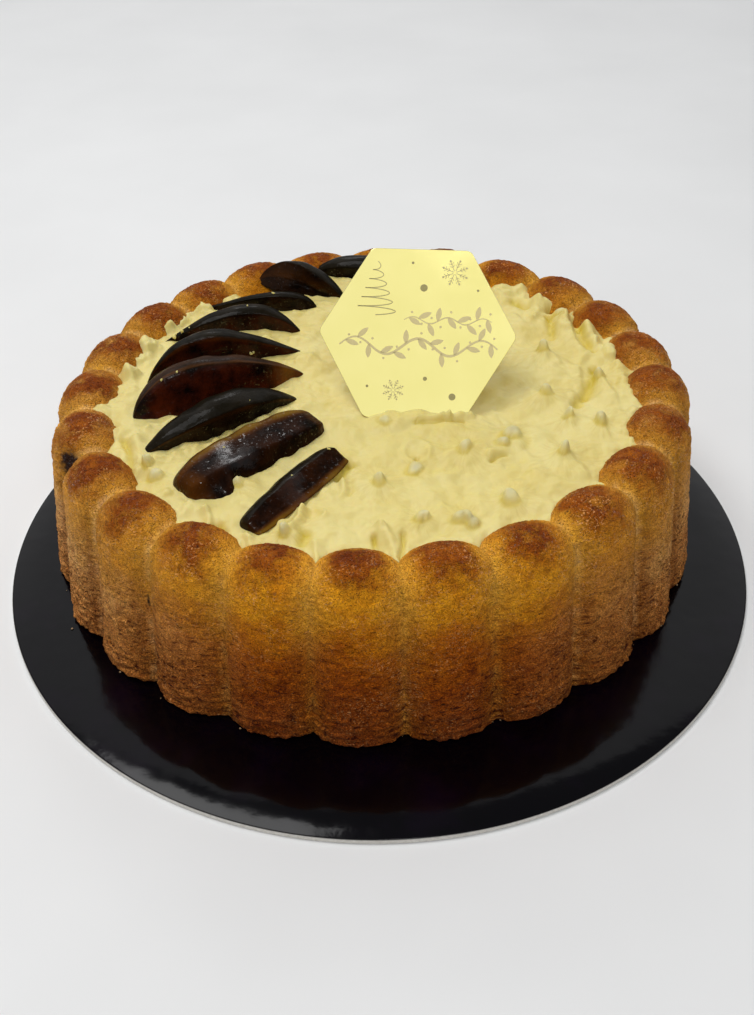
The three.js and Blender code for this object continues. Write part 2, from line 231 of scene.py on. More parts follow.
# Each slice: its place and heading, its body, and the edges of its cut faces in degrees, from
# the ridge to the foot. bow pushes its middle back, skew moves its belly along it, and a small
# taper leaves its ends blunt. twist turns the section towards the far end, and climb lifts the near
# end. dents are a place along it, a depth, below zero for a bump, and an angle. lip is how high the
# cream stands before it. warmth is how red-brown its flesh is, and skin how much of its skin's look
# its back has. Light comes through it along glow, lines at an angle with a width and a strength,
# and at its near and far tips, from tip_from on. shine is where it is wet: place, width, strength.
FIG_SLICES = [
    dict(x=-29.8, y=89.8, turn=-22, length=41, radius=8, rise=10, bow=3, skew=-0.15, taper=0.7,
         cut=(96, 238), twist=22, climb=4.5, warmth=0.1, glow=[(130, 40, 0.3)]),
    dict(x=-5, y=103, turn=-12, length=42, radius=7, rise=9.5, bow=1, skew=0.1, taper=0.4,
         cut=(140, 232), warmth=0.0),
    dict(x=-51, y=79.5, turn=-3, length=56, radius=4, rise=5.8, bow=1, skew=0.85, taper=0.5,
         cut=(118, 232), warmth=0.1),
    dict(x=-56, y=57, turn=3, length=56, radius=7, rise=9.5, bow=6, skew=0.4, taper=0.9,
         cut=(128, 240), twist=-8, warmth=0.6),
    dict(x=-56, y=35, turn=17, length=64, radius=7.5, rise=12.5, bow=5, skew=-0.4, taper=0.9,
         cut=(116, 242), twist=14, warmth=0.7, glow=[(119, 5, 0.35)]),
    dict(x=-57, y=14.5, turn=24, length=68, radius=12.5, rise=14, bow=3, skew=-0.3, taper=0.65,
         cut=(104, 230), twist=6, warmth=1.0, glow=[(98, 4, 0.5), (76, 20, 0.26)],
         tips=(0, 0.9), tip_from=0.35, skin=0.8),
    dict(x=-56, y=-4.5, turn=32, length=67, radius=10.5, rise=11.5, bow=0, skew=0.2, taper=0.9,
         cut=(126, 240), warmth=0.1, glow=[(129, 4, 0.35)]),
    dict(x=-42.4, y=-25.2, turn=45, length=59, radius=14.6, rise=9.8, bow=0.5, skew=-0.06, taper=0.2,
         cut=(62, 120, 206), twist=10, warmth=0.22, glow=[(64, 11, 1.0)], tips=(0.6, 0.4),
         tip_from=0.7, skin=0.1, lip=0.35, shine=(-0.34, 0.18, 0.92),
         dents=((-0.42, 4.2, 170), (-0.66, -3.0, 165))),
    dict(x=-27.4, y=-44.4, turn=55, length=48.5, radius=7.8, rise=5.6, bow=0, skew=0.06, taper=0.15,
         cut=(84, 158), warmth=0.25, glow=[(152, 12, 0.8)], tips=(0.2, 0.2),
         skin=0.9, lip=0.2, shine=(0.0, 0.3, 0.92)),
]
FIG = {"heel": 300, "tip_depth": 1.5, "around": 96, "along": 88, "deepest": 7.0}
PLAIN_SLICE = dict(twist=0, climb=0, dents=(), lip=1.0, skin=1.0, glow=(), tips=(0, 0), tip_from=0.8,
                   shine=(0, 9, 0.2))
FIG_SLICES = [{**PLAIN_SLICE, **slice_} for slice_ in FIG_SLICES]

# Flecks of cream left on the slices: slice, place along it, angle on its section, size.
CREAM_FLECKS = [
    (3, 0.35, 95, 0.9),
    (4, -0.84, 110, 1.5),
    (4, -0.74, 100, 1.3),
    (4, -0.64, 104, 0.9),
    (4, 0.22, 88, 0.5),
    (5, 0.28, 200, 1.2),
    (5, 0.30, 186, 0.8),
    (6, -0.45, 98, 0.8),
    (6, -0.62, 96, 0.6),
    (6, 0.05, 205, 1.0),
    (7, 0.30, 118, 0.4),
    (8, -0.30, 74, 0.6),
    (8, -0.36, 160, 1.5),
    (8, -0.30, 172, 1.3),
    (9, 0.05, 80, 0.6),
    (9, 0.85, 84, 0.7),
]

PLAQUE = {"side": 35.8, "thickness": 1.0, "corner": 4.0, "lean": 43, "turn": -6, "bevel": 0.12}

# Dots on the plaque: place and radius.
DOTS = [
    (-2.8, 25.9, 0.5),
    (1.6, 16.8, 1.35),
    (21.1, 16.4, 0.45),
    (-17.1, -19.7, 0.5),
    (3.6, -16.3, 0.75),
    (13.6, -22.5, 1.25),
]

# The camera and the lights are placed in metres.
VIEW = {"lens": 42.04, "place": (-0.0003, -0.3552, 0.302), "down": 38.66, "roll": -1.034}
TARGET = (0, 0, 0.05)

SURROUND = {"colour": (0.95, 0.97, 1.0), "strength": 0.30}

# Lights: place, the point each faces, width and height, and how bright it looks.
LIGHTS = {
    "overhead": ((-0.42, 0.12, 1.15), TARGET, (0.55, 0.55), 6.5),
    "sparkle": ((0.06, -0.445, 1.16), TARGET, (0.12, 0.12), 14.0),
    "front_key": ((0.28, -1.22, 1.15), TARGET, (0.5, 0.3), 7.4),
    "back_key": ((-0.2, 1.3, 0.95), TARGET, (0.35, 0.25), 5.0),
    "front_panel": ((-0.16, -0.81, 1.31), (0.015, 0.017, 0.084), (1.1, 1.1), 0.66),
    "back_panel": ((0, 1.7, 1.5), TARGET, (3.4, 1.7), 0.72),
}


# ---------------------------------------------------------------- nodes


class Number:
    """A number inside a node tree, worked with like a plain number. numpy's sin, cos and sqrt
    work on it too."""

    def __init__(self, tree, socket):
        self.tree = tree
        self.socket = socket

    def maths(self, operation, *others):
        inputs = dict(enumerate((self, *others)))
        return self.tree.number(self.tree.add("ShaderNodeMath", inputs, operation=operation))

    def __add__(self, other):
        return self.maths("ADD", other)

    def __sub__(self, other):
        return self.maths("SUBTRACT", other)

    def __rsub__(self, other):
        return (self * -1) + other

    def __mul__(self, other):
        return self.maths("MULTIPLY", other)

    def __truediv__(self, other):
        return self.maths("DIVIDE", other)

    def __pow__(self, other):
        return self.maths("POWER", other)

    def __abs__(self):
        return self.maths("ABSOLUTE")

    __radd__ = __add__
    __rmul__ = __mul__

    def sin(self):
        return self.maths("SINE")

    def cos(self):
        return self.maths("COSINE")

    def sqrt(self):
        return self.maths("SQRT")

    def floor(self):
        return self.maths("FLOOR")

    def share(self):
        """Kept between 0 and 1."""
        return self.maths("MAXIMUM", 0.0).maths("MINIMUM", 1.0)


class Tree:
    """A node tree in the making."""

    def __init__(self, node_tree):
        self.nodes = node_tree.nodes
        self.links = node_tree.links

    def give(self, socket, value):
        """Links a number or a socket to an input, or sets it to a plain value."""
        value = value.socket if isinstance(value, Number) else value
        if isinstance(value, bpy.types.NodeSocket):
            self.links.new(value, socket)
        else:
            socket.default_value = value

    def add(self, kind, inputs=(), **settings):
        """A new node, with its inputs linked or set by name or number."""
        node = self.nodes.new(kind)
        for name, value in settings.items():
            setattr(node, name, value)
        for key, value in dict(inputs).items():
            self.give(node.inputs[key], value)
        return node

    def number(self, node, output=0):
        return Number(self, node.outputs[output])

    def parts(self, vector):
        """The x, y and z of a vector socket."""
        split = self.add("ShaderNodeSeparateXYZ", {0: vector})
        return [self.number(split, i) for i in range(3)]

    def vector_maths(self, operation, inputs):
        return self.add("ShaderNodeVectorMath", inputs, operation=operation)

    def nearness(self, place, middle, half_size):
        """1 at a middle, 0 at half a size from it and beyond, in millimetres."""
        shifted = self.vector_maths("SUBTRACT", {0: place, 1: [c * MM for c in middle]})
        scale = [1 / (MM * half) for half in half_size]
        squeezed = self.vector_maths("MULTIPLY", {0: shifted.outputs[0], 1: scale})
        length = self.vector_maths("LENGTH", {0: squeezed.outputs[0]})
        return (1 - self.number(length, "Value")).share()


class GeometryTree(Tree):
    """A Geometry Nodes tree with named inputs."""

    def __init__(self, name):
        self.group = bpy.data.node_groups.new(name, "GeometryNodeTree")
        super().__init__(self.group)
        self.socket("Geometry", "Geometry", "OUTPUT")
        self.input_node = self.nodes.new("NodeGroupInput")
        self.given = {}

    def socket(self, name, kind, way="INPUT"):
        """A new socket of the whole tree."""
        return self.group.interface.new_socket(name, in_out=way, socket_type="NodeSocket" + kind)

    def input(self, name, value, whole=False):
        """A named input and the value it is given."""
        socket = self.socket(name, "Int" if whole else "Float")
        self.given[socket.identifier] = value
        return Number(self, self.input_node.outputs[name])

    def vector(self, x, y, z):
        return self.add("ShaderNodeCombineXYZ", {0: x, 1: y, 2: z}).outputs[0]

    def noise(self, place, scale, detail=2.0, roughness=0.5):
        """Noise from about -1 to 1."""
        inputs = {"Vector": place, "Scale": scale, "Detail": detail, "Roughness": roughness}
        return (self.number(self.add("ShaderNodeTexNoise", inputs)) - 0.5) * 2

    def stored(self, geometry, name, value):
        """The geometry with a named number kept at every point, for its material."""
        node = self.add(
            "GeometryNodeStoreNamedAttribute",
            {"Geometry": geometry, "Name": name, "Value": value},
            data_type="FLOAT",
            domain="POINT",
        )
        return node.outputs[0]

    def named(self, name):
        """A number stored earlier."""
        return self.number(self.add("GeometryNodeInputNamedAttribute", {"Name": name}, data_type="FLOAT"))

    def moved(self, geometry, distance):
        """The geometry pushed out along its own normal."""
        normal = self.add("GeometryNodeInputNormal").outputs[0]
        push = self.vector_maths("SCALE", {0: normal, "Scale": distance}).outputs[0]
        return self.add("GeometryNodeSetPosition", {"Geometry": geometry, "Offset": push}).outputs[0]

    def finish(self, geometry, material):
        """Ends the tree: instances made real, and the material set."""
        real = self.add("GeometryNodeRealizeInstances", {"Geometry": geometry})
        painted = self.add("GeometryNodeSetMaterial", {"Geometry": real.outputs[0]})
        painted.inputs["Material"].default_value = material
        output = self.nodes.new("NodeGroupOutput")
        self.links.new(painted.outputs[0], output.inputs[0])


def linked(name, data):
    """A new object in the scene."""
    piece = bpy.data.objects.new(name, data)
    bpy.context.scene.collection.objects.link(piece)
    return piece


def grown(name, tree, base=None):
    """The plain mesh object that a tree makes, from nothing or from a base mesh."""
    host = linked(name + "_host", base or bpy.data.meshes.new(name + "_host"))
    modifier = host.modifiers.new("Grow", "NODES")
    modifier.node_group = tree.group
    for identifier, value in tree.given.items():
        modifier[identifier] = value
    graph = bpy.context.evaluated_depsgraph_get()
    mesh = bpy.data.meshes.new_from_object(host.evaluated_get(graph))
    mesh.name = name
    bpy.data.objects.remove(host)
    return linked(name, mesh)


# ---------------------------------------------------------------- materials


class Finish(Tree):
    """A surface material in the making."""

    def __init__(self, name, **constants):
        self.material = bpy.data.materials.new(name)
        self.material.use_nodes = True
        super().__init__(self.material.node_tree)
        self.shader = self.nodes["Principled BSDF"]
        self.set(**constants)
        self.place = self.add("ShaderNodeTexCoord").outputs["Object"]

    def set(self, **inputs):
        """The material, with inputs of its shader linked or set."""
        for key, value in inputs.items():
            self.give(self.shader.inputs[key.replace("_", " ")], value)
        return self.material

    def stretched(self, x=1.0, y=1.0, z=1.0):
        """The place on the object, squeezed along its axes."""
        return self.add("ShaderNodeMapping", {"Vector": self.place, "Scale": (x, y, z)}).outputs[0]

    def noise(self, scale, detail=3.0, roughness=0.55, place=None):
        """Noise from 0 to 1."""
        inputs = {"Scale": scale, "Detail": detail, "Roughness": roughness}
        inputs["Vector"] = place or self.place
        return self.number(self.add("ShaderNodeTexNoise", inputs))

    def cells(self, scale, place=None):
        """Distance from the middle of the nearest grain."""
        inputs = {"Scale": scale, "Vector": place or self.place}
        return self.number(self.add("ShaderNodeTexVoronoi", inputs), "Distance")

    def attribute(self, name, output="Fac"):
        return self.number(self.add("ShaderNodeAttribute", attribute_name=name), output)

    def between(self, value, low, high, to_low=0.0, to_high=1.0):
        """value carried from low-high to to_low-to_high, held at both ends."""
        inputs = {0: value, 1: low, 2: high, 3: to_low, 4: to_high}
        return self.number(self.add("ShaderNodeMapRange", inputs))

    def swing(self, noise, low, high):
        """low in the valleys of a noise, high on its hills."""
        return self.between(noise, 0.3, 0.7, low, high)

    def ramp(self, value, *stops):
        """A colour for each value: stops are (value, (red, green, blue))."""
        node = self.add("ShaderNodeValToRGB", {0: value})
        elements = node.color_ramp.elements
        while len(elements) < len(stops):
            elements.new(0.5)
        for element, (position, colour) in zip(elements, stops):
            element.position = position
            element.color = (*colour, 1.0)
        return node.outputs[0]

    def shades(self, noise, low, high):
        """One colour in the valleys of a noise, another on its hills."""
        return self.ramp(noise, (0.3, low), (0.7, high))

    def mixed(self, share, first, second, way="MIX"):
        """Two colours mixed, or combined in another way."""
        node = self.add("ShaderNodeMix", {0: share}, data_type="RGBA", blend_type=way)
        for socket, colour in zip(node.inputs[6:8], (first, second)):  # its two colours
            self.give(socket, (*colour, 1.0) if isinstance(colour, tuple) else colour)
        return node.outputs[2]

    def times(self, share, first, second):
        """The first colour multiplied by the second, as far as share says."""
        return self.mixed(share, first, second, "MULTIPLY")

    def bump(self, layers):
        """A normal from (height, distance in millimetres) layers, one over another."""
        normal = None
        for height, distance in layers:
            inputs = {"Height": height, "Distance": distance * MM, "Strength": 1.0}
            if normal is not None:
                inputs["Normal"] = normal
            normal = self.add("ShaderNodeBump", inputs).outputs[0]
        return normal

    def bumped(self, *layers):
        """Bump on the surface and the gloss over it."""
        normal = self.bump(layers)
        self.set(Normal=normal, Coat_Normal=normal)

    def coat_bumped(self, *layers):
        """Its own bump for the gloss."""
        self.set(Coat_Normal=self.bump(layers))


def golden_wall(finish, height, valley, patch, blotch):
    """The crust's colour from foot to rim, its sides paled by painted sheen and side light, its paler
    valleys with painted shade on their flanks, and a seam in each valley.
    """
    sideways = finish.parts(finish.place)[0]
    aside = abs(sideways)

    # The front is deeper in colour than the sides. The sides' paler tone is painted sheen and side light,
    # made paler again on the left half and most of all on the outermost flutes.
    level = height + finish.swing(patch, -0.14, 0.14)
    front_wall = finish.ramp(
        level,
        (0.0, (0.38, 0.086, 0.012)),
        (0.20, (0.44, 0.096, 0.008)),
        (0.40, (0.43, 0.086, 0.003)),
        (0.62, (0.53, 0.122, 0.003)),
        (0.84, (0.72, 0.222, 0.004)),
        (1.0, (1.0, 0.400, 0.012)),
    )
    sheen_lit_side_wall = finish.ramp(
        level,
        (0.0, (0.66, 0.225, 0.040)),
        (0.35, (0.74, 0.285, 0.055)),
        (0.60, (0.83, 0.375, 0.085)),
        (0.85, (0.74, 0.310, 0.042)),
        (1.0, (0.72, 0.280, 0.024)),
    )
    side = finish.between(aside, 0.04, 0.095)
    wall = finish.mixed(side, front_wall, sheen_lit_side_wall)
    # Painted side light: the left half is made paler.
    left = finish.between(sideways, -0.11, -0.05, 1.0, 0.0)
    wall = finish.times(left, wall, (1.15, 1.2, 1.3))
    # Painted sheen: the outermost flutes, seen edge on, are made paler still.
    outermost_sheen = finish.between(aside, 0.085, 0.115)
    wall = finish.times(outermost_sheen, wall, (1.15, 1.25, 1.6))

    # A valley is lighter than its flanks, and lightest of all towards the rim. Its flanks are darkened
    # with painted shade, more so at the sides.
    open_valley = finish.between(valley, 0.1, 0.85)
    lifted = finish.mixed(open_valley * 0.35, wall, (0.86, 0.30, 0.020))
    near_valley = finish.between(valley, 0.15, 0.45, 0.0, 0.5)
    flank_shade = near_valley * finish.between(valley, 0.6, 0.85, 1.0, 0.0)
    lifted = finish.times(flank_shade, lifted, (0.80, 0.74, 0.74))
    hollow = open_valley * finish.between(height, 0.6, 1.0, 0.0, 0.8)
    pale = finish.mixed(hollow, lifted, (1.0, 0.50, 0.048))
    # Painted shade on the valley flanks at the sides.
    pale = finish.times(flank_shade * side, pale, (0.55, 0.47, 0.47))

    # A pale broken seam runs down the bottom of each valley, stronger at the sides.
    broken = finish.between(blotch, 0.38, 0.62, 0.0, 0.42)
    seam = finish.between(valley, 0.6, 0.95) * broken * finish.between(side, 0.0, 1.0, 1.0, 1.9)
    return finish.mixed(seam, pale, finish.mixed(side, (0.88, 0.42, 0.07), (0.98, 0.60, 0.28)))


def browned_caps(finish, pale, cap, valley, patch, blotch):
    """Reddish brown on the top of each flute, with tongues down its front."""
    crest = cap * finish.between(valley, 0.03, 0.6, 1.0, 0.1)
    tongues = crest + finish.swing(patch, -0.32, 0.32)
    browning = tongues + finish.swing(blotch, -0.3, 0.3)
    brown = finish.ramp(
        blotch, (0.34, (0.17, 0.027, 0.001)), (0.5, (0.27, 0.055, 0.002)), (0.66, (0.44, 0.112, 0.003))
    )
    return finish.mixed(finish.between(browning, 0.25, 0.95), pale, brown)


def crumbly(finish, colour, height, mottle, streak, grain, granule):
    """The colour broken up by mottling, creases, crumbs and dust, most of all towards the foot."""
    low = finish.between(height, 0.35, 1.0, 1.0, 0.15)
    plain = (1.0, 1.0, 1.0)
    shade = finish.ramp(mottle, (0.34, (0.72, 0.6, 0.5)), (0.5, plain), (0.66, (1.2, 1.3, 1.4)))
    lines = finish.ramp(streak, (0.37, (0.26, 0.15, 0.15)), (0.44, plain), (0.6, (1.2, 1.25, 1.25)))
    crumbs = finish.ramp(granule, (0.1, (1.3, 1.4, 1.6)), (0.4, plain), (0.75, (0.45, 0.36, 0.32)))
    dust = finish.ramp(grain, (0.36, (0.6, 0.5, 0.42)), (0.5, plain), (0.64, (1.5, 1.65, 1.9)))
    for share, tint in (
        (finish.between(low, 0.0, 1.0, 0.35, 0.9), shade),
        (low, lines),
        (finish.between(low, 0.0, 1.0, 0.05, 0.75), crumbs),
        (finish.between(height, 0.4, 0.9, 0.8, 0.3), dust),
    ):
        colour = finish.times(share, colour, tint)
    return colour


def flecked_and_glinted(finish, colour):
    """Pale specks over the colour, in loose clusters: partly crumb flakes, partly painted glints."""
    clusters = finish.between(finish.noise(95, 3, 0.6), 0.48, 0.62)
    flake = finish.noise(1250, 2, 0.5, finish.stretched(1, 1, 1.7))
    # The pale specks are partly real flakes of crumb and partly painted glints.
    flake_and_glint_specks = finish.between(flake, 0.59, 0.64, 0.0, 0.65)
    return finish.mixed(flake_and_glint_specks * clusters, colour, (1.0, 0.47, 0.17))


def marked(finish, colour, mottle):
    """Dark fruit, a slit and pits in the colour, with uneven edges."""
    for x, y, z, half_width, half_height, _ in CRUST_MARKS:
        near = finish.nearness(finish.place, (x, y, z), (half_width, half_width, half_height))
        mark = near + finish.swing(mottle, -0.2, 0.2)
        colour = finish.mixed(finish.between(mark, 0.12, 0.6), colour, (0.035, 0.012, 0.006))
    return colour


def baked_crust():
    """Golden crumb, reddish brown on the caps, browner and creased towards the foot."""
    finish = Finish(
        "Baked crust",
        Specular_IOR_Level=0.05,
        Coat_Roughness=0.16,
        Coat_IOR=1.55,
        Sheen_Weight=0.03,
        Sheen_Roughness=0.5,
    )
    height, cap, valley = [finish.attribute(name) for name in ("wall_height", "cap", "valley")]
    patch = finish.noise(75, 4, 0.62)
    blotch = finish.noise(170, 4, 0.62)
    mottle = finish.noise(330, 4, 0.66)
    grain = finish.noise(1700, 3, 0.7, finish.stretched(1, 1, 1.8))
    streak = finish.noise(260, 5, 0.66, finish.stretched(1, 1, 3.4))
    granule = finish.cells(1500, finish.stretched(1, 1, 1.5))
    fine_granule = finish.cells(2800)
    pale = golden_wall(finish, height, valley, patch, blotch)
    colour = browned_caps(finish, pale, cap, valley, patch, blotch)
    colour = crumbly(finish, colour, height, mottle, streak, grain, granule)
    colour = marked(finish, flecked_and_glinted(finish, colour), mottle)

    # Butter glints in fine sparks, in patches near the rim.
    sparkle = finish.noise(1150, 2, 0.6)
    buttered = finish.between(finish.noise(110, 3, 0.6), 0.47, 0.60, 0.15, 1.0)
    wet = buttered * finish.between(height, 0.5, 1.0, 0.08, 1.0)
    glint = finish.between(sparkle, 0.57, 0.62) * wet

    relief = finish.between(granule, 0.0, 0.8, 1.0, 0.0)
    fine_relief = finish.between(fine_granule, 0.0, 0.8, 1.0, 0.0)
    coarse = finish.between(height, 0.45, 0.95, 1.0, 0.4)
    finish.bumped((streak * coarse, 2.6), (mottle * coarse, 1.4), (relief, 0.5), (fine_relief, 0.25))
    finish.coat_bumped((mottle, 1.6), (sparkle, 1.5))
    rough = finish.between(grain, 0.35, 0.65, 0.8, 0.6)
    return finish.set(Base_Color=colour, Roughness=rough, Coat_Weight=glint)


def fresh_cream():
    """Soft pale yellow cream with painted shade, a deeper yellow, in its grooves and round its knobs'
    feet, greyer at its tips, streaked round knobs.
    """
    finish = Finish(
        "Fresh cream",
        Specular_IOR_Level=0.3,
        Subsurface_Weight=0.3,
        Subsurface_Radius=(1.0, 0.75, 0.3),
        Subsurface_Scale=0.003,
    )
    deep, tip, swept = [finish.attribute(name) for name in ("deep", "tip", "swept")]
    cloud = finish.noise(60, 3, 0.5)
    streak = finish.noise(1.3, 3, 0.6, finish.attribute("sweep", "Vector"))
    body = finish.shades(cloud, (0.72, 0.585, 0.19), (0.77, 0.66, 0.265))
    lines = finish.ramp(streak, (0.3, (0.93, 0.90, 0.82)), (0.55, (1.0, 1.0, 1.0)))
    lined = finish.times(swept, body, lines)
    # Painted shade: a deeper yellow in grooves and round the knobs' feet.
    hollow = finish.mixed(finish.between(deep, 0.15, 1.0, 0.0, 0.9), lined, (0.62, 0.47, 0.05))
    colour = finish.mixed(finish.between(tip, 0.3, 1.0, 0.0, 0.8), hollow, (0.60, 0.56, 0.33))
    finish.bumped((streak * swept, 0.2), (finish.noise(420, 4, 0.6), 0.25))
    return finish.set(Base_Color=colour, Roughness=finish.swing(cloud, 0.36, 0.5))


def candied_fig():
    """Dark waxy skin, and glossy mahogany flesh with painted amber light added where it is thin."""
    finish = Finish("Candied fig", Specular_IOR_Level=0.03, Coat_Roughness=0.06, Coat_IOR=1.5)
    skin = finish.attribute("skin")
    warmth = finish.attribute("warmth")
    amber = finish.attribute("amber")
    cloud = finish.noise(130, 4, 0.6)
    skin_colour = finish.shades(cloud, (0.004, 0.003, 0.001), (0.012, 0.008, 0.003))
    bloom = finish.between(finish.noise(90, 3, 0.6), 0.5, 0.7, 0.0, 0.2)
    bloomed = finish.mixed(bloom, skin_colour, (0.026, 0.028, 0.030))
    cool = finish.ramp(cloud, (0.35, (0.003, 0.0015, 0.0008)), (0.65, (0.014, 0.006, 0.0015)))
    warm = finish.ramp(cloud, (0.35, (0.004, 0.001, 0.001)), (0.65, (0.056, 0.008, 0.0015)))
    flesh = finish.mixed(warmth, cool, warm)
    dark = (0.0, 0.0, 0.0)
    # Painted light: amber light coming through the thin flesh, added over its colour.
    glow = finish.ramp(amber, (0.1, dark), (0.45, (0.052, 0.016, 0.001)), (0.85, (0.15, 0.076, 0.004)))
    colour = finish.mixed(1.0, finish.mixed(skin, flesh, bloomed), glow, "ADD")
    fine = finish.noise(620, 3, 0.6)
    syrup = finish.between(finish.noise(70, 3, 0.6), 0.45, 0.53, 0.04, 0.9) * finish.attribute("wet")
    gloss = syrup.maths("MAXIMUM", finish.between(finish.noise(1000, 2, 0.5), 0.63, 0.67))
    waxed = skin * finish.swing(cloud, 0.03, 0.14)
    coat = gloss * finish.between(skin, 0.0, 1.0, 1.0, 0.0) + waxed
    relief = fine * finish.between(skin, 0.0, 1.0, 1.0, 0.12)
    finish.bumped((cloud, 0.6), (relief, 0.45))
    finish.coat_bumped((cloud, 0.35), (relief, 0.16))
    rough = finish.between(fine, 0.35, 0.7, 0.32, 0.5)
    return finish.set(Base_Color=colour, Roughness=rough, Coat_Weight=coat)


def gold_mirror():
    """Pale gold mirror film with faint rub marks."""
    finish = Finish("Gold mirror", Metallic=1.0)
    haze = finish.noise(45, 3, 0.6)
    hairs = finish.noise(900, 2, 0.5, finish.stretched(0.12, 1, 1))
    colour = finish.shades(haze, (0.92, 0.83, 0.30), (0.94, 0.85, 0.33))
    finish.bumped((hairs, 0.01))
    return finish.set(Base_Color=colour, Roughness=finish.swing(haze, 0.10, 0.16))


def etched_gold():
    """Matt tan lines cut into the gold, and greyer spots."""
    finish = Finish("Etched gold", Metallic=0.6)
    wear = finish.noise(700, 3, 0.6)
    tan = finish.shades(wear, (0.52, 0.43, 0.20), (0.62, 0.53, 0.27))
    grey = finish.shades(wear, (0.24, 0.21, 0.08), (0.32, 0.28, 0.11))
    colour = finish.mixed(finish.attribute("ink"), tan, grey)
    return finish.set(Base_Color=colour, Roughness=finish.swing(wear, 0.4, 0.6))


def black_film():
    """Black satin film over pale card, which shows at the edge and underneath."""
    finish = Finish("Black film", Specular_IOR_Level=0.16)
    card = finish.attribute("card")
    dust = finish.noise(2600, 2, 0.5)
    ripple = finish.noise(28, 3, 0.6)
    stain = finish.between(finish.noise(30, 4, 0.65), 0.5, 0.75)
    black = finish.mixed(stain, (0.0008, 0.0005, 0.0014), (0.0032, 0.0008, 0.0050))
    film = finish.mixed(finish.between(dust, 0.74, 0.8), black, (0.03, 0.03, 0.03))
    fibres = finish.shades(finish.noise(600, 4, 0.7), (0.55, 0.52, 0.47), (0.72, 0.70, 0.65))
    colour = finish.mixed(card, film, fibres)
    satin = finish.swing(ripple, 0.07, 0.15)
    rough = satin + finish.between(card, 0.0, 1.0, 0.0, 0.6)
    finish.bumped((ripple, 0.5), (finish.noise(300, 3, 0.6), 0.03))
    return finish.set(Base_Color=colour, Roughness=rough)


def stray_crumb():
    """Pale dry crumb flaked off the crust."""
    finish = Finish("Stray crumb", Specular_IOR_Level=0.2)
    tone = finish.noise(700, 3, 0.6)
    colour = finish.shades(tone, (0.24, 0.12, 0.05), (0.52, 0.36, 0.20))
    finish.bumped((finish.noise(2500, 2, 0.5), 0.2))
    return finish.set(Base_Color=colour, Roughness=finish.swing(tone, 0.8, 0.6))


# ---------------------------------------------------------------- numbers for the mesh code


def eased(value, low, high):
    """0 below low, 1 above high, smooth between."""
    t = np.clip((value - low) / (high - low), 0, 1)
    return t * t * (3 - 2 * t)


def soft_noise(points, size, seed):
    """Smooth noise from about -1 to 1, with lumps about size across."""
    random = np.random.default_rng(seed)
    order = random.permutation(256)
    slopes = random.normal(size=(256, 3))
    slopes /= np.linalg.norm(slopes, axis=1)[:, None]
    scaled = np.asarray(points, float) / size
    cell = np.floor(scaled).astype(int)
    inside = scaled - cell
    fade = inside ** 3 * (inside * (inside * 6 - 15) + 10)
    total = np.zeros(len(scaled))
    for corner in np.ndindex(2, 2, 2):
        at = cell + corner
        key = order[(at[:, 0]) & 255]
        key = order[(key + at[:, 1]) & 255]
        key = order[(key + at[:, 2]) & 255]
        weight = np.prod(np.where(corner, fade, 1 - fade), axis=1)
        total += weight * np.sum(slopes[key] * (inside - corner), axis=1)
    return total * 1.6


def layered_noise(points, size, seed, layers=3):
    """Noise with finer, weaker layers over it."""
    total = np.zeros(len(points))
    for layer in range(layers):
        total += soft_noise(points, size / 2 ** layer, seed + layer) / 1.8 ** layer
    return total


def flat(x, y, z=0.0):
    """x, y and z arrays as rows of points."""
    return np.stack([x, y, np.broadcast_to(z, np.shape(x))], axis=-1).reshape(-1, 3)


def cream_level(x, y):
    """Height of the cream's own surface, before its folds and peaks."""
    tilt = 1 + CROWN["Slope"] * (x - CENTRE_X)
    wave = np.sin(x / 17 + 1.2) * np.cos(y / 14) + 0.6 * np.sin((x + y) / 9)
    return BOARD_TOP + CREAM["level"] * tilt + CREAM["wave"] * wave


def groove_share(across):
    """How far a valley has fallen: 0 at a flute's middle, 1 where across is -1 or 1."""
    full = 1 - math.sqrt(1 - GROOVE_ROUNDNESS ** 2)
    groove = (1 - np.sqrt(1 - (across * GROOVE_ROUNDNESS) ** 2)) / full
    return groove - groove ** 8 * VALLEY_ROUNDING


def uneven_turn(turn):
    """Where an evenly spaced turn round the crown really lies."""
    heading = turn
    for waves, start, size in WANDER:
        heading = heading - size * np.sin(waves * turn + start)
    return heading


def crown_groove(turn):
    """How far the crown has fallen into a valley at a turn round it."""
    pitch = 2 * math.pi / CROWN["Flutes"]
    flute = (turn + math.pi / 2 - CROWN["First flute"]) / pitch
    return groove_share((flute - np.round(flute)) * 2)


def round_the_cake(turn, radius):
    """x and y at a turn round the crown's oval and at a radius."""
    oval = radius * (1 + CROWN["Widening"] * np.cos(2 * turn))
    heading = uneven_turn(turn)
    return CENTRE_X + oval * np.cos(heading), CENTRE_Y + oval * np.sin(heading)


def crown_inside(turn, outwards):
    """A ring on the crown's inner side, pushed outwards by some millimetres."""
    radius = CROWN["Inner radius"] + CROWN["Inner groove"] * crown_groove(turn) + outwards
    return round_the_cake(turn, radius)


def turns_round(count):
    """Evenly spaced turns of a full circle."""
    return 2 * math.pi * np.arange(count) / count


def tube(rings, count, inward=False):
    """Faces between rings of count points, numbered ring by ring."""
    faces = []
    for start in range(0, (rings - 1) * count, count):
        for i in range(count):
            a, b = start + i, start + (i + 1) % count
            faces.append((a, a + count, b + count, b) if inward else (a, b, b + count, a + count))
    return faces


def tipped_tube(rings, count, inward=False):
    """A tube closed to a point at each end. The two points are numbered after the rings."""
    faces = tube(rings, count, inward)
    tip, end = rings * count, (rings - 1) * count
    for i in range(count):
        after = (i + 1) % count
        for a, b, c in ((tip, after, i), (tip + 1, end + i, end + after)):
            faces.append((a, c, b) if inward else (a, b, c))
    return faces


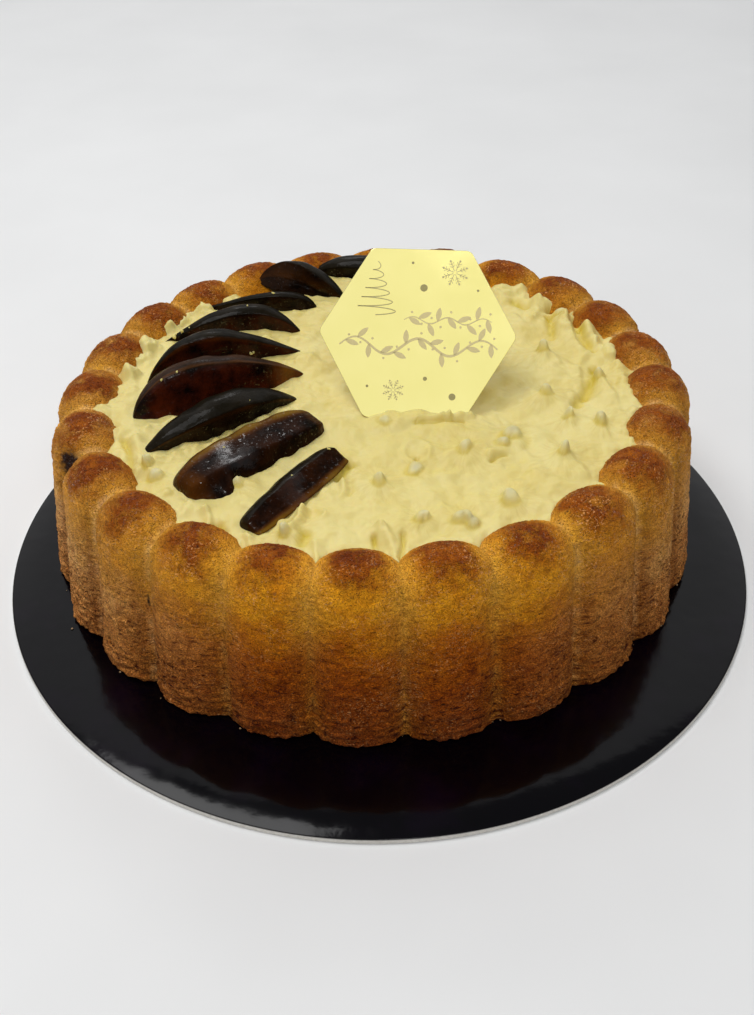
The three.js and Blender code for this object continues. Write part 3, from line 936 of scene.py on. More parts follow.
def capped_tube(rings, count):
    """A tube with a flat face at each end."""
    last = (rings - 1) * count
    return [tuple(range(count))[::-1], tuple(range(last, last + count)), *tube(rings, count)]


def renumbered(faces, start):
    """Faces whose points are numbered from start."""
    return [tuple(start + i for i in face) for face in faces]


def keep(mesh, key, values, kind="FLOAT"):
    """Keeps a named number, or a vector, at every point of a mesh."""
    layer = mesh.attributes.new(key, kind, "POINT")
    form = "value" if kind == "FLOAT" else "vector"
    layer.data.foreach_set(form, np.asarray(values, np.float32))


def mesh_piece(name, points, faces, material, smooth=True, **attributes):
    """An object from points in millimetres, with named numbers for its material."""
    mesh = bpy.data.meshes.new(name)
    mesh.from_pydata((np.asarray(points) * MM).tolist(), [], faces)
    mesh.validate()
    for key, values in attributes.items():
        keep(mesh, key, values)
    mesh.polygons.foreach_set("use_smooth", [smooth] * len(mesh.polygons))
    mesh.materials.append(material)
    return linked(name, mesh)


def belongs(piece, slot, *nodes):
    """The piece rides on the cake and stands for its CAD nodes, which are hidden; slot is not used."""
    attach(piece, "root")
    if nodes:
        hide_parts(*nodes)
    return piece


# ---------------------------------------------------------------- the crown of sponge


def crown_grid(tree):
    """A flat grid of faces, each point's column, and how far along each stretch of rows it is."""
    columns = CROWN["Flutes"] * COLUMNS_PER_FLUTE
    rows = sum(CROWN_ROWS.values())
    grid = tree.add(
        "GeometryNodeMeshGrid",
        {"Size X": columns, "Size Y": rows, "Vertices X": columns + 1, "Vertices Y": rows + 1},
    )
    grid_x, grid_y, _ = tree.parts(tree.add("GeometryNodeInputPosition").outputs[0])
    row = grid_y + rows / 2
    steps = {}
    start = 0
    for stretch, count in CROWN_ROWS.items():
        steps[stretch] = ((row - start) / count).share()
        start += count
    return grid.outputs["Mesh"], grid_x + columns / 2, steps


def crown_profile(size, steps, groove, lift):
    """Radius, height and share of the cap, from the underside over the rim to the well's floor."""
    base = size["Base radius"] - size["Base groove"] * groove
    outer = size["Shoulder radius"] - size["Wall groove"] * groove
    inner = size["Inner radius"] + size["Inner groove"] * groove
    cap = size["Cap height"] - size["Top notch"] * groove + lift
    angle = steps["rim"] * math.pi
    height = size["Shoulder height"] * steps["wall"] + cap * angle.sin()
    height = height + (size["Well floor"] - size["Shoulder height"]) * steps["inside"]
    from_foot = 1 - (height / size["Foot round"]).share()
    tuck = (1 - (1 - from_foot ** 2).sqrt()) * size["Foot round"] * 0.7
    radius = (
        base * steps["under"]
        - tuck * steps["under"] * (1 - steps["rim"])
        + (outer - base) * steps["wall"]
        - (outer - inner) * 0.5 * (1 - angle.cos())
        - size["Well taper"] * steps["inside"]
        - (inner - size["Well taper"]) * steps["floor"]
    )
    return radius, height, angle.sin()


def crown_tree(material):
    """The fluted crown from its named sizes, with crumb, creases and pits in its skin."""
    tree = GeometryTree("Fluted crown")
    size = {}
    for name, value in CROWN.items():
        size[name] = tree.input(name, value * CROWN_UNITS.get(name, MM), whole=name == "Flutes")
    mesh, column, steps = crown_grid(tree)
    flute = (column / COLUMNS_PER_FLUTE).floor()
    across = (column / COLUMNS_PER_FLUTE - flute) * 2 - 1
    groove = groove_share(across)
    turn = (flute + across / 2) / size["Flutes"] * (2 * math.pi) + size["First flute"] - math.pi / 2
    heading = uneven_turn(turn)

    # The caps are a little unequal in height.
    whole = flute - (flute / size["Flutes"]).floor() * size["Flutes"]
    lift = ((whole * 2.4).sin() * 0.5 + (whole * 5.1 + 1).sin() * 0.3) * MM * (1 - groove)

    radius, height, cap = crown_profile(size, steps, groove, lift)
    oval = radius * ((turn * 2).cos() * size["Widening"] + 1)
    x = oval * heading.cos()
    y = oval * heading.sin()
    z = height * (x * size["Slope"] + 1)
    shape = tree.vector(x + CENTRE_X * MM, y + CENTRE_Y * MM, z + BOARD_TOP * MM)
    shown = ((steps["wall"] * 40).share() * (1 - steps["floor"])).share()
    named = {"valley": groove, "wall_height": steps["wall"], "cap": cap.share(), "shown": shown}
    for name, value in named.items():
        mesh = tree.stored(mesh, name, value)
    placed = tree.add("GeometryNodeSetPosition", {"Geometry": mesh, "Position": shape})
    joined = {"Geometry": placed.outputs[0], "Distance": 0.01 * MM}
    merged = tree.add("GeometryNodeMergeByDistance", joined).outputs[0]
    rough = tree.moved(merged, baked_skin(tree, size))
    smooth = tree.add("GeometryNodeSetShadeSmooth", {"Geometry": rough})
    tree.finish(smooth.outputs[0], material)
    return tree


def baked_skin(tree, size):
    """How far the crust stands out from the smooth crown: crumb, creases, pits and a ragged foot."""
    at = tree.add("GeometryNodeInputPosition").outputs[0]
    wide = tree.vector_maths("MULTIPLY", {0: at, 1: (1.0, 1.0, 3.0)}).outputs[0]
    low = 1 - tree.named("wall_height") * 0.45 - tree.named("cap") * 0.3
    crumb = tree.noise(at, 260.0, 5.0, 0.62) * size["Crumb depth"] * low
    grain = tree.noise(at, 800.0, 2.0, 0.5) * size["Grain depth"]
    patchy = (tree.noise(at, 70.0, 1.0, 0.5) * 3 + 0.7).share()
    crease = 1 - (abs(tree.noise(wide, 210.0, 3.0, 0.6)) * 7).share()
    crease = crease * size["Crease depth"] * low * patchy
    speck = tree.add("ShaderNodeTexVoronoi", {"Vector": at, "Scale": 150.0})
    pit = (1 - tree.number(speck, "Distance") * 6).share() * size["Pit depth"]
    pit = pit * (tree.noise(at, 60.0, 1.0, 0.5) * 4).share()
    above_foot = tree.parts(at)[2] - BOARD_TOP * MM
    near_foot = 1 - (above_foot / (5 * MM)).share()
    ragged = tree.noise(at, 560.0, 3.0, 0.65) * size["Ragged foot"] * near_foot * near_foot
    layers = (above_foot * (2 * math.pi / (3.4 * MM)) + tree.noise(at, 45.0, 2.0, 0.5) * 7).sin()
    layers = layers * (0.45 * MM) * (1 - (above_foot / (15 * MM)).share())
    out = (crumb + grain + ragged + layers - crease - pit) * tree.named("shown")
    for x, y, z, half_width, half_height, depth in CRUST_MARKS:
        near = tree.nearness(at, (x, y, z), (half_width, half_width, half_height))
        out = out - near.sqrt() * (depth * MM)
    return out


def sponge_crown(material):
    crown = grown("sponge_crown", crown_tree(material))
    return belongs(crown, "sponge", "sponge")


# ---------------------------------------------------------------- cream


def disc_grid(cells):
    """Points of a square grid eased into a round disc: x, y from -1 to 1."""
    line = np.linspace(-1, 1, cells + 1)
    u, v = np.meshgrid(line, line, indexing="ij")
    return u * np.sqrt(1 - v * v / 2), v * np.sqrt(1 - u * u / 2)


def near_ridge(x, y, ridge):
    """1 along a ridge's start, less towards its end, falling to 0 over its width."""
    x0, y0, x1, y1, bend, height, width, steep = ridge
    length = math.hypot(x1 - x0, y1 - y0)
    ahead_x, ahead_y = (x1 - x0) / length, (y1 - y0) / length
    dx, dy = x - x0, y - y0
    along = dx * ahead_x + dy * ahead_y
    share = np.clip(along / length, 0, 1)
    aside = dy * ahead_x - dx * ahead_y - bend * 4 * share * (1 - share)
    past = np.clip(along - length, 0, None) + np.clip(-along, 0, None)
    sides = np.where(aside * steep > 0, 1 - 0.7 * abs(steep), 1 + 0.6 * abs(steep))
    fade = 1 - (0.7 if height > 0 else 0.2) * share
    return np.exp(-((aside / (width * sides)) ** 2) - (past / (width * 0.8)) ** 2) * fade


def beside_slice(x, y, slice_):
    """Place beside a slice: along its length from -1 to 1, and millimetres behind its middle."""
    heading = radians(slice_["turn"])
    dx, dy = x - slice_["x"], y - slice_["y"]
    along = (dx * math.cos(heading) + dy * math.sin(heading)) / (slice_["length"] / 2)
    back = -dx * math.sin(heading) + dy * math.cos(heading)
    return along, back


def knobs_on(x, y):
    """Height and sideways pull of the knobs, how near a tip each point is, the shade at their feet,
    and the sweep of the fine streaks round the nearest knob."""
    shape = np.shape(x)
    rise, pull_x, pull_y, tip, dark, nearest, second = (np.zeros(shape) for _ in range(7))
    sweep = np.zeros((*shape, 3))
    for number, (px, py, width, height, reach, heading) in enumerate(KNOBS):
        dx, dy = x - px, y - py
        away = np.hypot(dx, dy)
        bearing = np.arctan2(dy, dx)
        uneven = 1 + 0.14 * np.sin(2 * bearing + number) + 0.08 * np.sin(3 * bearing + 2.3 * number)
        out = away / (0.68 * width * uneven)
        knob = np.clip(1 - out ** 4, 0, 1) ** 0.6
        tent = np.exp(-((away / (0.6 * reach * uneven)) ** 2))
        rise += 0.58 * height * knob + 0.22 * height * tent
        # Painted shade in a ring round each knob's foot, heavier on one side.
        shaded = np.exp(-(((out - 1.2) / 0.35) ** 2)) * (0.5 - 0.35 * np.sin(bearing + 0.5))
        dark = np.maximum(dark, shaded)
        lean = np.clip(1 - out ** 2, 0, 1)
        pull_x += 0.25 * height * math.cos(radians(heading)) * lean
        pull_y += 0.25 * height * math.sin(radians(heading)) * lean
        tip = np.maximum(tip, np.clip(1.1 - out, 0, 1) ** 0.5)
        share = np.clip(1 - away / (1.9 * reach), 0, 1) * eased(away, 0.5 * width, 1.2 * width)
        closer = share > nearest
        second = np.where(closer, nearest, np.maximum(second, share))
        around = np.stack([5 * np.cos(bearing), 5 * np.sin(bearing), away / 8 + 40 * number], axis=-1)
        sweep = np.where(closer[..., None], around, sweep)
        nearest = np.maximum(nearest, share)
    swept = eased(nearest - second, 0.0, 0.4)
    return rise, pull_x, pull_y, tip, dark, sweep, swept


def cream_relief(x, y, out):
    """Everything that shapes the cream's top, as named arrays. out is the share of the way from
    its middle to the crust."""
    points = flat(x, y)
    shape = np.shape(x)

    def lumps(size, seed, layers=2):
        return layered_noise(points, size, seed, layers).reshape(shape)

    rise, pull_x, pull_y, tip, dark, sweep, swept = knobs_on(x, y)
    rise += sum(height * lumps(size, seed) for height, size, seed in CREAM["lumps"])
    torn = lumps(4.4, 61)
    ragged = lumps(1.8, 67, 1)

    # Torn lumps, knife rings and ridges. Grooves also get painted shade, a deeper yellow.
    for px, py, radius, height in CLIMBS:
        away = np.hypot(x - px, y - py) / radius + 0.35 * torn
        rise += height * eased(-away, -1.2, -0.5)
    for px, py, half_width, half_length, height, width in RINGS:
        away = np.hypot((x - px) / half_width, (y - py) / half_length)
        rise += height * np.exp(-(((away - 1) * half_width / width) ** 2))
        rise -= 0.5 * height * np.exp(-((away / 0.7) ** 2))
    deep = dark
    for ridge in RIDGES:
        near = near_ridge(x, y, ridge) * (1 + 0.4 * torn)
        rise += ridge[5] * near
        if ridge[5] < 0:
            deep = np.maximum(deep, near * min(1.0, -ridge[5] / 2.2))

    # A lip of cream pushed up in front of each slice, and a ragged edge at the crust.
    for slice_ in FIG_SLICES:
        along, back = beside_slice(x, y, slice_)
        beside = np.exp(-(np.clip(np.abs(along) - 0.85, 0, None) / 0.2) ** 2)
        front = -back - 0.45 * slice_["radius"]
        lip = np.exp(-(((front - 2.5) / 2.6) ** 2))
        rise += (1.0 + 1.1 * torn + 0.4 * ragged) * lip * beside * slice_["lip"]
    rise += eased(out, 0.90, 0.99) * (0.6 * torn + 1.3 * lumps(9, 91))
    return dict(rise=rise, pull_x=pull_x, pull_y=pull_y, tip=tip, sweep=sweep, swept=swept, deep=deep)


def cream_side(rim, turn, count):
    """Points and faces that close the cream down its side and across the hollow's floor. rim is the
    top's outer ring, at some turns, and count is how many points the top has."""
    points = []
    faces = []
    ring = rim
    for outwards, height in CREAM["skirt"]:
        ring_x, ring_y = crown_inside(turn, outwards)
        points.append(flat(ring_x, ring_y, height))
        below = list(range(count, count + len(rim)))
        count += len(rim)
        for i in range(len(rim)):
            after = (i + 1) % len(rim)
            faces.append((ring[i], below[i], below[after], ring[after]))
        ring = below
    return np.concatenate(points), faces + [tuple(reversed(ring))]


def cream_filling(material):
    """The cream's top as one fine sheet, closed down its side and across the hollow's floor."""
    cells = CREAM["cells"]
    u, v = disc_grid(cells)
    turn = np.arctan2(v, u)
    out = np.hypot(u, v)
    edge_x, edge_y = crown_inside(turn, CREAM["overlap"])
    x = CENTRE_X + (edge_x - CENTRE_X) * out
    y = CENTRE_Y + (edge_y - CENTRE_Y) * out
    for px, py, width, *_ in KNOBS:
        away = np.hypot(x - px, y - py)
        draw = 0.45 * np.exp(-((away / (1.1 * width)) ** 2))
        x = x - (x - px) * draw
        y = y - (y - py) * draw
    shaped = cream_relief(x, y, out)
    z = cream_level(x, y) + shaped["rise"] - 1.2 * eased(out, 0.965, 1.0)
    top = flat(x + shaped["pull_x"], y + shaped["pull_y"], z)
    number = np.arange((cells + 1) ** 2).reshape(cells + 1, cells + 1)
    faces = [
        (number[i, j], number[i + 1, j], number[i + 1, j + 1], number[i, j + 1])
        for i in range(cells)
        for j in range(cells)
    ]
    rim = list(number[:-1, 0]) + list(number[-1, :-1]) + list(number[:0:-1, -1]) + list(number[0, :0:-1])
    side, side_faces = cream_side(rim, turn.reshape(-1)[rim], len(top))
    none = np.zeros(len(side))
    named = {key: np.concatenate([shaped[key].reshape(-1), none]) for key in ("deep", "tip", "swept")}
    points = np.concatenate([top, side])
    piece = mesh_piece("cream_filling", points, faces + side_faces, material, **named)
    sweep = np.concatenate([shaped["sweep"].reshape(-1), np.zeros(3 * len(side))])
    keep(piece.data, "sweep", sweep, "FLOAT_VECTOR")
    return belongs(piece, "cream", "cream")


# ---------------------------------------------------------------- fig slices


def fig_section(angle, slice_):
    """Distance from a section's middle to its edge, as a share of its radius, how much of the
    point is cut face, and its place across the face from 0 at the ridge to 1 at the foot."""
    reach = np.ones_like(angle)
    edges = [radians(edge) for edge in (*slice_["cut"], FIG["heel"])]
    for low, high in zip(edges, edges[1:]):
        off = np.clip(np.abs(angle - (high + low) / 2), 0, 1.45)
        chord = math.cos((high - low) / 2) / np.cos(off)
        blend = 0.035
        gap = np.clip(0.5 + 0.5 * (chord - reach) / blend, 0, 1)
        reach = chord * (1 - gap) + reach * gap - blend * gap * (1 - gap)
    ridge, foot = edges[0], edges[-2]
    face = eased(angle, ridge - 0.05, ridge + 0.05)
    across = np.clip((angle - ridge) / (foot - ridge), 0, 1)
    return reach, face, across


def fig_reach(along, angle, size, slice_, seed):
    """Distance from a slice's middle line to its surface, with its lumps, wrinkles and dents, how
    much of each point is cut face, and the lumps themselves."""
    reach_share, face, across = fig_section(angle, slice_)
    reach = slice_["radius"] * size * reach_share
    unrolled = flat(
        np.broadcast_to(along * slice_["length"] / 2, reach.shape),
        reach * np.cos(angle),
        reach * np.sin(angle),
    )
    lumps = soft_noise(unrolled, 9.0, seed).reshape(reach.shape)
    wrinkle = layered_noise(unrolled * [0.25, 1, 1], 1.9, seed + 3, 2).reshape(reach.shape)
    granule = layered_noise(unrolled * [0.5, 1, 1], 1.7, seed + 6, 2).reshape(reach.shape)
    sunk = np.sin(np.pi * across) ** 0.7 * face * size
    solid = np.clip(size * 2, 0, 1)
    folded = len(slice_["cut"]) > 2
    reach = reach * (1 + 0.07 * lumps)
    reach = reach - (0.02 if folded else 0.07) * slice_["radius"] * sunk * (0.7 + 0.7 * lumps)
    reach = reach + solid * (0.08 * wrinkle * (1 - face) + 0.16 * granule * face * sunk)
    for place, depth, middle in slice_["dents"]:
        spread = 0.09 if depth > 0 else 0.15
        near = np.exp(-(((along - place) / spread) ** 2) - ((angle - radians(middle)) / 0.5) ** 2)
        reach = np.maximum(reach - depth * near, 0)
    return reach, face, lumps


def fig_looks(along, angle, face, lumps, slice_):
    """Numbers at each point of a slice for its material."""
    near_tip, far_tip = slice_["tips"]
    whole = np.ones_like(face)
    glow = np.where(along < 0, near_tip, far_tip) * eased(np.abs(along), slice_["tip_from"], 0.99) * whole
    for middle, width, strength in slice_["glow"]:
        line = np.exp(-(((angle - radians(middle)) / radians(width)) ** 2))
        glow = np.maximum(glow, strength * line)
    shine, shine_width, strength = slice_["shine"]
    return dict(
        skin=(1 - face) * slice_["skin"],
        warmth=slice_["warmth"] * whole,
        amber=glow * np.clip(0.8 + 0.6 * lumps, 0, 1),
        wet=(0.05 + strength * np.exp(-(((along - shine) / shine_width) ** 2))) * whole,
    )


def fig_surface(number, slice_):
    """Points of a slice along and round it, in millimetres, and named numbers at each."""
    rows = FIG["along"]
    along = np.cos(np.pi * np.arange(rows + 1) / rows)[:, None]
    turns = turns_round(FIG["around"])[None, :]
    angle = turns - radians(slice_["twist"]) * along
    size = np.clip(1 - along ** 2, 0, 1) ** slice_["taper"] * (1 + slice_["skew"] * along)
    reach, face, lumps = fig_reach(along, angle, size, slice_, seed=300 + 10 * number)
    lift = (slice_["rise"] - slice_["radius"] + FIG["tip_depth"]) * size - FIG["tip_depth"]
    lift = lift + slice_["climb"] * (1 - along) / 2
    upward = np.maximum(lift + reach * np.sin(turns), -FIG["deepest"])
    backward = slice_["bow"] * size + reach * np.cos(turns)
    lengthwise = along * slice_["length"] / 2
    heading = radians(slice_["turn"])
    x = slice_["x"] + lengthwise * math.cos(heading) - backward * math.sin(heading)
    y = slice_["y"] + lengthwise * math.sin(heading) + backward * math.cos(heading)
    z = cream_level(slice_["x"], slice_["y"]) + upward
    return np.stack([x, y, z], axis=-1), fig_looks(along, angle, face, lumps, slice_)


def fig_slice(number, slice_, material):
    """A wedge of candied fig: smooth skin over its back, and a slightly sunken cut face."""
    points, named = fig_surface(number, slice_)

    def kept(values):
        """Ring by ring, then the two tips."""
        return np.concatenate([values[1:-1].reshape(-1, *values.shape[2:]), values[[0, -1], 0]])

    piece = mesh_piece(
        f"fig_slice_{number}_fruit",
        kept(points),
        tipped_tube(FIG["along"] - 1, FIG["around"]),
        material,
        **{key: kept(values) for key, values in named.items()},
    )
    return belongs(piece, "fig", f"fig_slice_{number}")


def lumpy_ball(steps=12):
    """Points and faces of a small round lump of size 1."""
    turn, tilt = np.meshgrid(turns_round(2 * steps), np.arange(1, steps) * math.pi / steps)
    ring = flat(np.sin(tilt) * np.cos(turn), np.sin(tilt) * np.sin(turn), np.cos(tilt))
    points = np.concatenate([ring, [[0, 0, 1], [0, 0, -1]]])
    return points, tipped_tube(steps - 1, 2 * steps, inward=True)


def cream_flecks(material):
    """Small torn flecks of cream, sunk a little into the slices that they lie on."""
    ball, ball_faces = lumpy_ball()
    random = np.random.default_rng(17)
    points = []
    faces = []
    for number, place, degrees, size in CREAM_FLECKS:
        surface, _ = fig_surface(number, FIG_SLICES[number - 1])
        row = int(round(math.acos(place) / math.pi * FIG["along"]))
        column = int(round(degrees / 360 * FIG["around"]))
        shape = random.uniform(0.35, 0.8, 3) * size
        shift = random.uniform(0, 50, 3)
        lump = ball * shape
        lump = lump * (1 + 0.8 * soft_noise(lump + shift, 0.7 * size, 5))[:, None]
        start = sum(len(part) for part in points)
        points.append(lump + surface[row, column])
        faces += renumbered(ball_faces, start)
    points = np.concatenate(points)
    none = np.zeros(len(points))
    piece = mesh_piece("cream_flecks", points, faces, material, deep=none, tip=none, swept=none)
    return belongs(piece, "cream")


# ---------------------------------------------------------------- plaque


def plaque_frame():
    """The matrix that puts the plaque's flat drawing on the cake, with its middle at the CAD's."""
    low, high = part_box("plaque")
    tip = Matrix.Rotation(radians(90 - PLAQUE["lean"]), 4, "X")
    swing = Matrix.Rotation(radians(PLAQUE["turn"]), 4, "Z")
    return Matrix.Translation((low + high) / 2 / MM) @ swing @ tip


def heading_to(turn):
    """A step of length 1 at a turn."""
    return np.array([math.cos(turn), math.sin(turn)])


def hexagon(grow, steps=10):
    """Outline of the plaque with rounded corners, grown by some millimetres."""
    outline = []
    pull = PLAQUE["corner"] / 2 / PLAQUE["side"]
    corners = [heading_to(radians(60 * i)) * (PLAQUE["side"] + grow) for i in range(6)]
    for i, here in enumerate(corners):
        start = here + (corners[i - 1] - here) * pull
        end = here + (corners[(i + 1) % 6] - here) * pull
        for step in range(steps + 1):
            t = step / steps
            outline.append(start * (1 - t) ** 2 + here * 2 * t * (1 - t) + end * t * t)
    return np.array(outline)


def on_plaque(points):
    """Points of the plaque's flat drawing, put in place on the cake."""
    matrix = np.array(plaque_frame())
    return np.asarray(points) @ matrix[:3, :3].T + matrix[:3, 3]


def mirror_plaque(material):
    """A thin gold hexagon with softened edges."""
    half, bevel = PLAQUE["thickness"] / 2, PLAQUE["bevel"]
    profile = [(-1.5, -half), (-bevel, -half), (-0.3 * bevel, -half + 0.3 * bevel), (0, -half + bevel)]
    profile += [(grow, -z) for grow, z in reversed(profile)]
    rings = []
    for grow, z in profile:
        outline = hexagon(grow)
        rings.append(flat(outline[:, 0], outline[:, 1], z))
    faces = capped_tube(len(rings), len(outline))
    piece = mesh_piece("plaque_mirror", on_plaque(np.concatenate(rings)), faces, material)
    piece.data.set_sharp_from_angle(angle=radians(15))
    return belongs(piece, "plaque", "plaque")


class Etching:
    """Thin marks on the plaque's face, gathered into one mesh."""

    def __init__(self):
        self.points = []
        self.faces = []
        self.inks = []
        self.base = PLAQUE["thickness"] / 2 - 0.02
        self.top = PLAQUE["thickness"] / 2 + 0.04

    def inked(self, ink):
        """Gives every mark made since the last call its darkness, from 0 to 1."""
        self.inks += [ink] * (len(self.points) - len(self.inks))

    def prism(self, outline):
        """A closed outline, counted anticlockwise, made a thin raised mark."""
        count = len(outline)
        start = len(self.points)
        for height in (self.base, self.top):
            self.points += [(px, py, height) for px, py in outline]
        self.faces += renumbered(capped_tube(2, count), start)

    def dot(self, x, y, radius):
        self.prism([(x + radius * math.cos(t), y + radius * math.sin(t)) for t in turns_round(24)])

    def stroke(self, path, width):
        """A line of a given width, or widths, along a path."""
        path = np.asarray(path, float)
        widths = np.broadcast_to(width, len(path))
        slope = np.gradient(path, axis=0)
        slope /= np.linalg.norm(slope, axis=1)[:, None]
        side = np.column_stack([-slope[:, 1], slope[:, 0]]) * widths[:, None] / 2
        left, right = path + side, path - side
        start = len(self.points)
        for near, far in zip(left, right):
            for height in (self.base, self.top):
                self.points.append((*far, height))
                self.points.append((*near, height))
        last = start + 4 * (len(path) - 1)
        self.faces.append((start, start + 2, start + 3, start + 1))
        self.faces.append((last, last + 1, last + 3, last + 2))
        for i in range(start, last, 4):
            a, b, c, d = i, i + 1, i + 2, i + 3
            e, f, g, h = i + 4, i + 5, i + 6, i + 7
            self.faces += [(a, b, f, e), (c, g, h, d), (a, e, g, c), (b, d, h, f)]

    def leaf(self, x, y, length, width, heading):
        """A pointed leaf, from its stem's end."""
        t = np.linspace(0, 1, 9)
        ahead = heading_to(radians(heading))
        side = np.array([-ahead[1], ahead[0]])
        middle = np.array([x, y]) + np.outer(t, ahead * length)
        half = np.outer(np.sin(np.pi * t) ** 0.8 * width / 2, side)
        self.prism([*(middle - half), *(middle + half)[-2:0:-1]])

    def snowflake(self, x, y, radius, arms=8):
        """Plain ice crystal: arms with two pairs of barbs and a bead at each tip."""
        middle = np.array([x, y])
        line = 0.22
        for arm in range(arms):
            heading = 2 * math.pi * (arm + 0.5) / arms
            ahead = heading_to(heading)
            tip = middle + ahead * radius * 0.8
            self.stroke([middle + ahead * radius * 0.12, tip], line)
            self.leaf(*tip, radius * 0.2, radius * 0.16, math.degrees(heading))
            for reach, barb in ((0.42, 0.2), (0.62, 0.24)):
                root = middle + ahead * radius * reach
                for side in (-1, 1):
                    branch = heading_to(heading + side * radians(48))
                    self.stroke([root, root + branch * radius * barb], line)


def fir(etching, x, foot, top, width, swings=5.5):
    """A fir tree from one swinging line that widens to its foot."""
    t = np.linspace(0, 1, 240)
    px = x + np.sin(2 * math.pi * swings * t) * width / 2 * (0.1 + 0.9 * t)
    py = top + (foot - top) * t + 0.6 * np.cos(2 * math.pi * swings * t)
    etching.stroke(np.column_stack([px, py]), 0.28 + 0.1 * t)


def vine(etching, x0, x1, y, sway, leaves, weight, waves=2.5):
    """A waving stem with leaves to both sides."""
    t = np.linspace(0, 1, 160)
    px = x0 + (x1 - x0) * t
    py = y + sway * np.sin(2 * math.pi * waves * t)
    etching.stroke(np.column_stack([px, py]), weight * (0.55 + 0.45 * np.sin(np.pi * t)))
    for number in range(leaves):
        at = int((number + 0.5) / leaves * (len(t) - 1))
        side = 1 if number % 2 else -1
        slope = math.degrees(math.atan2(py[at + 1] - py[at - 1], px[at + 1] - px[at - 1]))
        etching.leaf(px[at], py[at], 5.2, 2.0, slope + side * 52)
        etching.dot(px[at] + 1.2, py[at] - side * 2.0, 0.45)


def plaque_ornament(material):
    """Generic winter ornament: dots, ice crystals, a fir and two vines."""
    etching = Etching()
    for dot in DOTS:
        etching.dot(*dot)
    etching.inked(0.9)
    etching.snowflake(12.5, 22.7, 5.0)
    etching.snowflake(-7.6, -20.8, 4.0)
    etching.inked(0.35)
    fir(etching, -15.5, 7.0, 25.5, 15.0)
    etching.inked(0.6)
    vine(etching, -5.0, 26.5, 5.0, 1.2, 9, 0.5)
    vine(etching, -28.0, 29.0, -4.8, 3.0, 13, 1.0)
    etching.inked(0.0)
    points = on_plaque(np.array(etching.points))
    piece = mesh_piece(
        "plaque_ornament", points, etching.faces, material, smooth=False, ink=etching.inks
    )
    return belongs(piece, "plaque")


# ---------------------------------------------------------------- board and crumbs


def cake_board(material):
    """A thin round card disc with black film over its top."""
    steps = 256
    turns = turns_round(steps)
    edge = [(0.97, 0.0), (1.0, 0.12), (1.0, 0.8), (0.9985, 0.93), (0.996, 1.0)]
    top = [(0.9, 1.0), (0.6, 1.0), (0.3, 1.0)]
    rings = []
    card = []
    for share, height in edge + top:
        radius = BOARD_RADIUS * share
        rings.append(flat(radius * np.cos(turns), radius * np.sin(turns), BOARD_TOP * height))
        card += [1.0 if height < 0.85 else 0.0] * steps
    points = np.concatenate(rings + [np.array([[0, 0, 0], [0, 0, BOARD_TOP]])])
    card += [1.0, 0.0]
    faces = tipped_tube(len(rings), steps)
    piece = mesh_piece("cake_board", points, faces, material, card=card)
    piece.data.set_sharp_from_angle(angle=radians(40))
    return belongs(piece, "board", "board")


def crumb_tree(material):
    """Loose crumbs strewn over a ring mesh, more of them near the cake."""
    tree = GeometryTree("Loose crumbs")
    seed = tree.input("Seed", 5, whole=True)
    density = tree.input("Crumbs per square metre", 60000.0)
    smallest = tree.input("Smallest", 0.10 * MM)
    largest = tree.input("Largest", 0.36 * MM)
    tree.group.interface.move(tree.socket("Ring", "Geometry"), 0)
    ring = tree.input_node.outputs["Ring"]
    spread = tree.add(
        "GeometryNodeDistributePointsOnFaces",
        {"Mesh": ring, "Density": tree.named("close") * density, "Seed": seed},
    )
    ball = tree.add("GeometryNodeMeshIcoSphere", {"Radius": 1.0, "Subdivisions": 2})
    size = tree.add(
        "FunctionNodeRandomValue", {"Min": smallest, "Max": largest, "Seed": seed}, data_type="FLOAT"
    )
    roll = tree.add("FunctionNodeRandomValue", {"Seed": seed}, data_type="FLOAT_VECTOR")
    roll.inputs[1].default_value = [6.28] * 3  # up to a full turn about each axis
    placed = tree.add(
        "GeometryNodeInstanceOnPoints",
        {
            "Points": spread.outputs["Points"],
            "Instance": ball.outputs["Mesh"],
            "Rotation": roll.outputs[0],
            "Scale": size.outputs[1],
        },
    )
    real = tree.add("GeometryNodeRealizeInstances", {"Geometry": placed.outputs[0]})
    at = tree.add("GeometryNodeInputPosition").outputs[0]
    lumps = tree.noise(at, 1800.0, 2.0, 0.6) * (0.35 * MM)
    tree.finish(tree.moved(real.outputs[0], lumps), material)
    return tree


def crumb_ring():
    """The strip of board just outside the cake's foot, where crumbs lie."""
    turns = turns_round(240)
    groove = crown_groove(turns)
    bands = ((-1.4, 1.0), (0.2, 1.0), (1.2, 0.2), (4.0, 0.03))
    points = []
    close = []
    for outwards, share in bands:
        radius = CROWN["Base radius"] - CROWN["Base groove"] * groove + outwards
        points.append(flat(*round_the_cake(turns, radius), BOARD_TOP + 0.3))
        close += list(share * (0.15 + 0.85 * groove ** 3))
    mesh = bpy.data.meshes.new("crumb_ring")
    faces = tube(len(bands), len(turns), inward=True)
    mesh.from_pydata((np.concatenate(points) * MM).tolist(), [], faces)
    keep(mesh, "close", close)
    return mesh


def loose_crumbs(material):
    crumbs = grown("loose_crumbs", crumb_tree(material), crumb_ring())
    return belongs(crumbs, "sponge")


# ---------------------------------------------------------------- studio


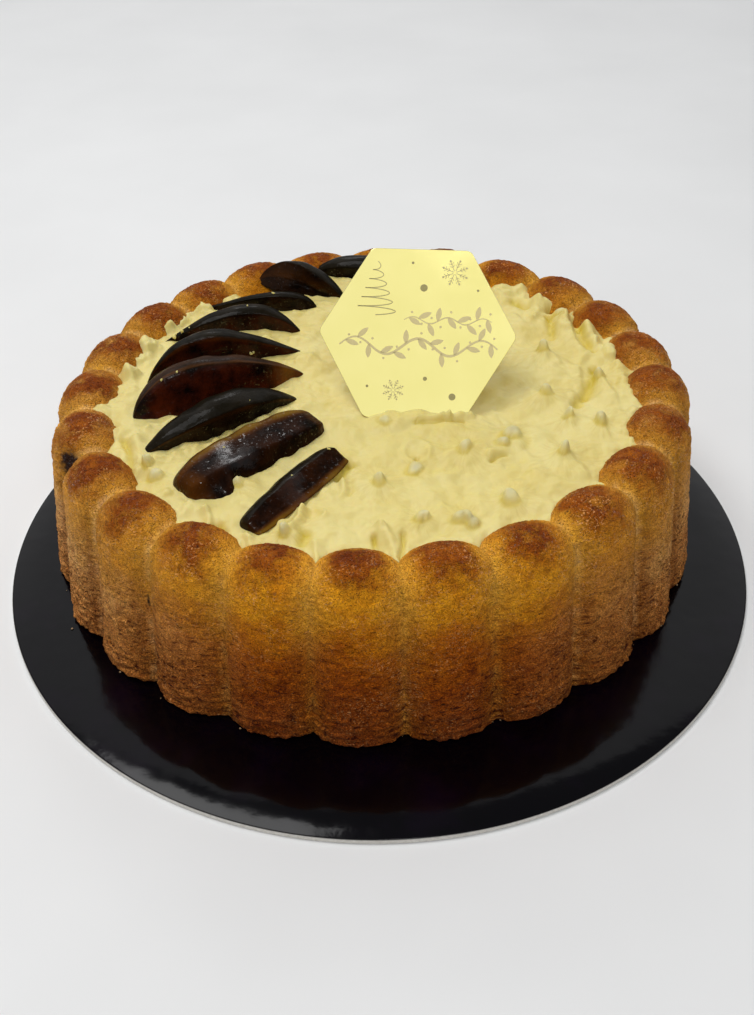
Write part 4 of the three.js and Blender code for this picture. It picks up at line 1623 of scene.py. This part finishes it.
def camera():
    data = bpy.data.cameras.new("camera")
    data.lens = VIEW["lens"]
    data.sensor_width = 36.0
    data.clip_start = 0.02
    view = linked("camera", data)
    tilt = Matrix.Rotation(radians(90 - VIEW["down"]), 4, "X")
    roll = Matrix.Rotation(radians(VIEW["roll"]), 4, "Z")
    view.matrix_world = Matrix.Translation(VIEW["place"]) @ tilt @ roll
    bpy.context.scene.camera = view


def soft_light(name, place, aim, size, brightness):
    """A panel of light that looks equally bright whatever its size."""
    width, height = size
    data = bpy.data.lights.new(name, "AREA")
    data.shape = "RECTANGLE"
    data.size = width
    data.size_y = height
    data.energy = brightness * math.pi * width * height
    light = linked(name, data)
    light.location = place
    light.rotation_euler = (Vector(aim) - Vector(place)).to_track_quat("-Z", "Y").to_euler()


def studio():
    """Pale floor, soft overhead light and an even pale surround."""
    world = bpy.data.worlds.new("surround")
    world.use_nodes = True
    background = world.node_tree.nodes["Background"]
    background.inputs["Color"].default_value = (*SURROUND["colour"], 1.0)
    background.inputs["Strength"].default_value = SURROUND["strength"]
    bpy.context.scene.world = world
    for name, sizes in LIGHTS.items():
        soft_light(name, *sizes)
    finish = Finish("Pale floor", Roughness=0.7)
    grain = finish.shades(finish.noise(9, 3, 0.5), (0.79, 0.79, 0.785), (0.83, 0.83, 0.825))
    floor_material = finish.set(Base_Color=grain)
    reach = 3000.0
    corners = [(-reach, -reach, 0), (reach, -reach, 0), (reach, reach, 0), (-reach, reach, 0)]
    floor = mesh_piece("floor", corners, [(0, 1, 2, 3)], floor_material)
    bpy.context.scene.view_settings.view_transform = "Standard"


# ---------------------------------------------------------------- assembly

camera()
studio()
crust = baked_crust()
sponge_crown(crust)
loose_crumbs(stray_crumb())
cream = fresh_cream()
cream_filling(cream)
fig = candied_fig()
for fig_number, fig_sizes in enumerate(FIG_SLICES, 1):
    fig_slice(fig_number, fig_sizes, fig)
cream_flecks(cream)
mirror_plaque(gold_mirror())
plaque_ornament(etched_gold())
cake_board(black_film())
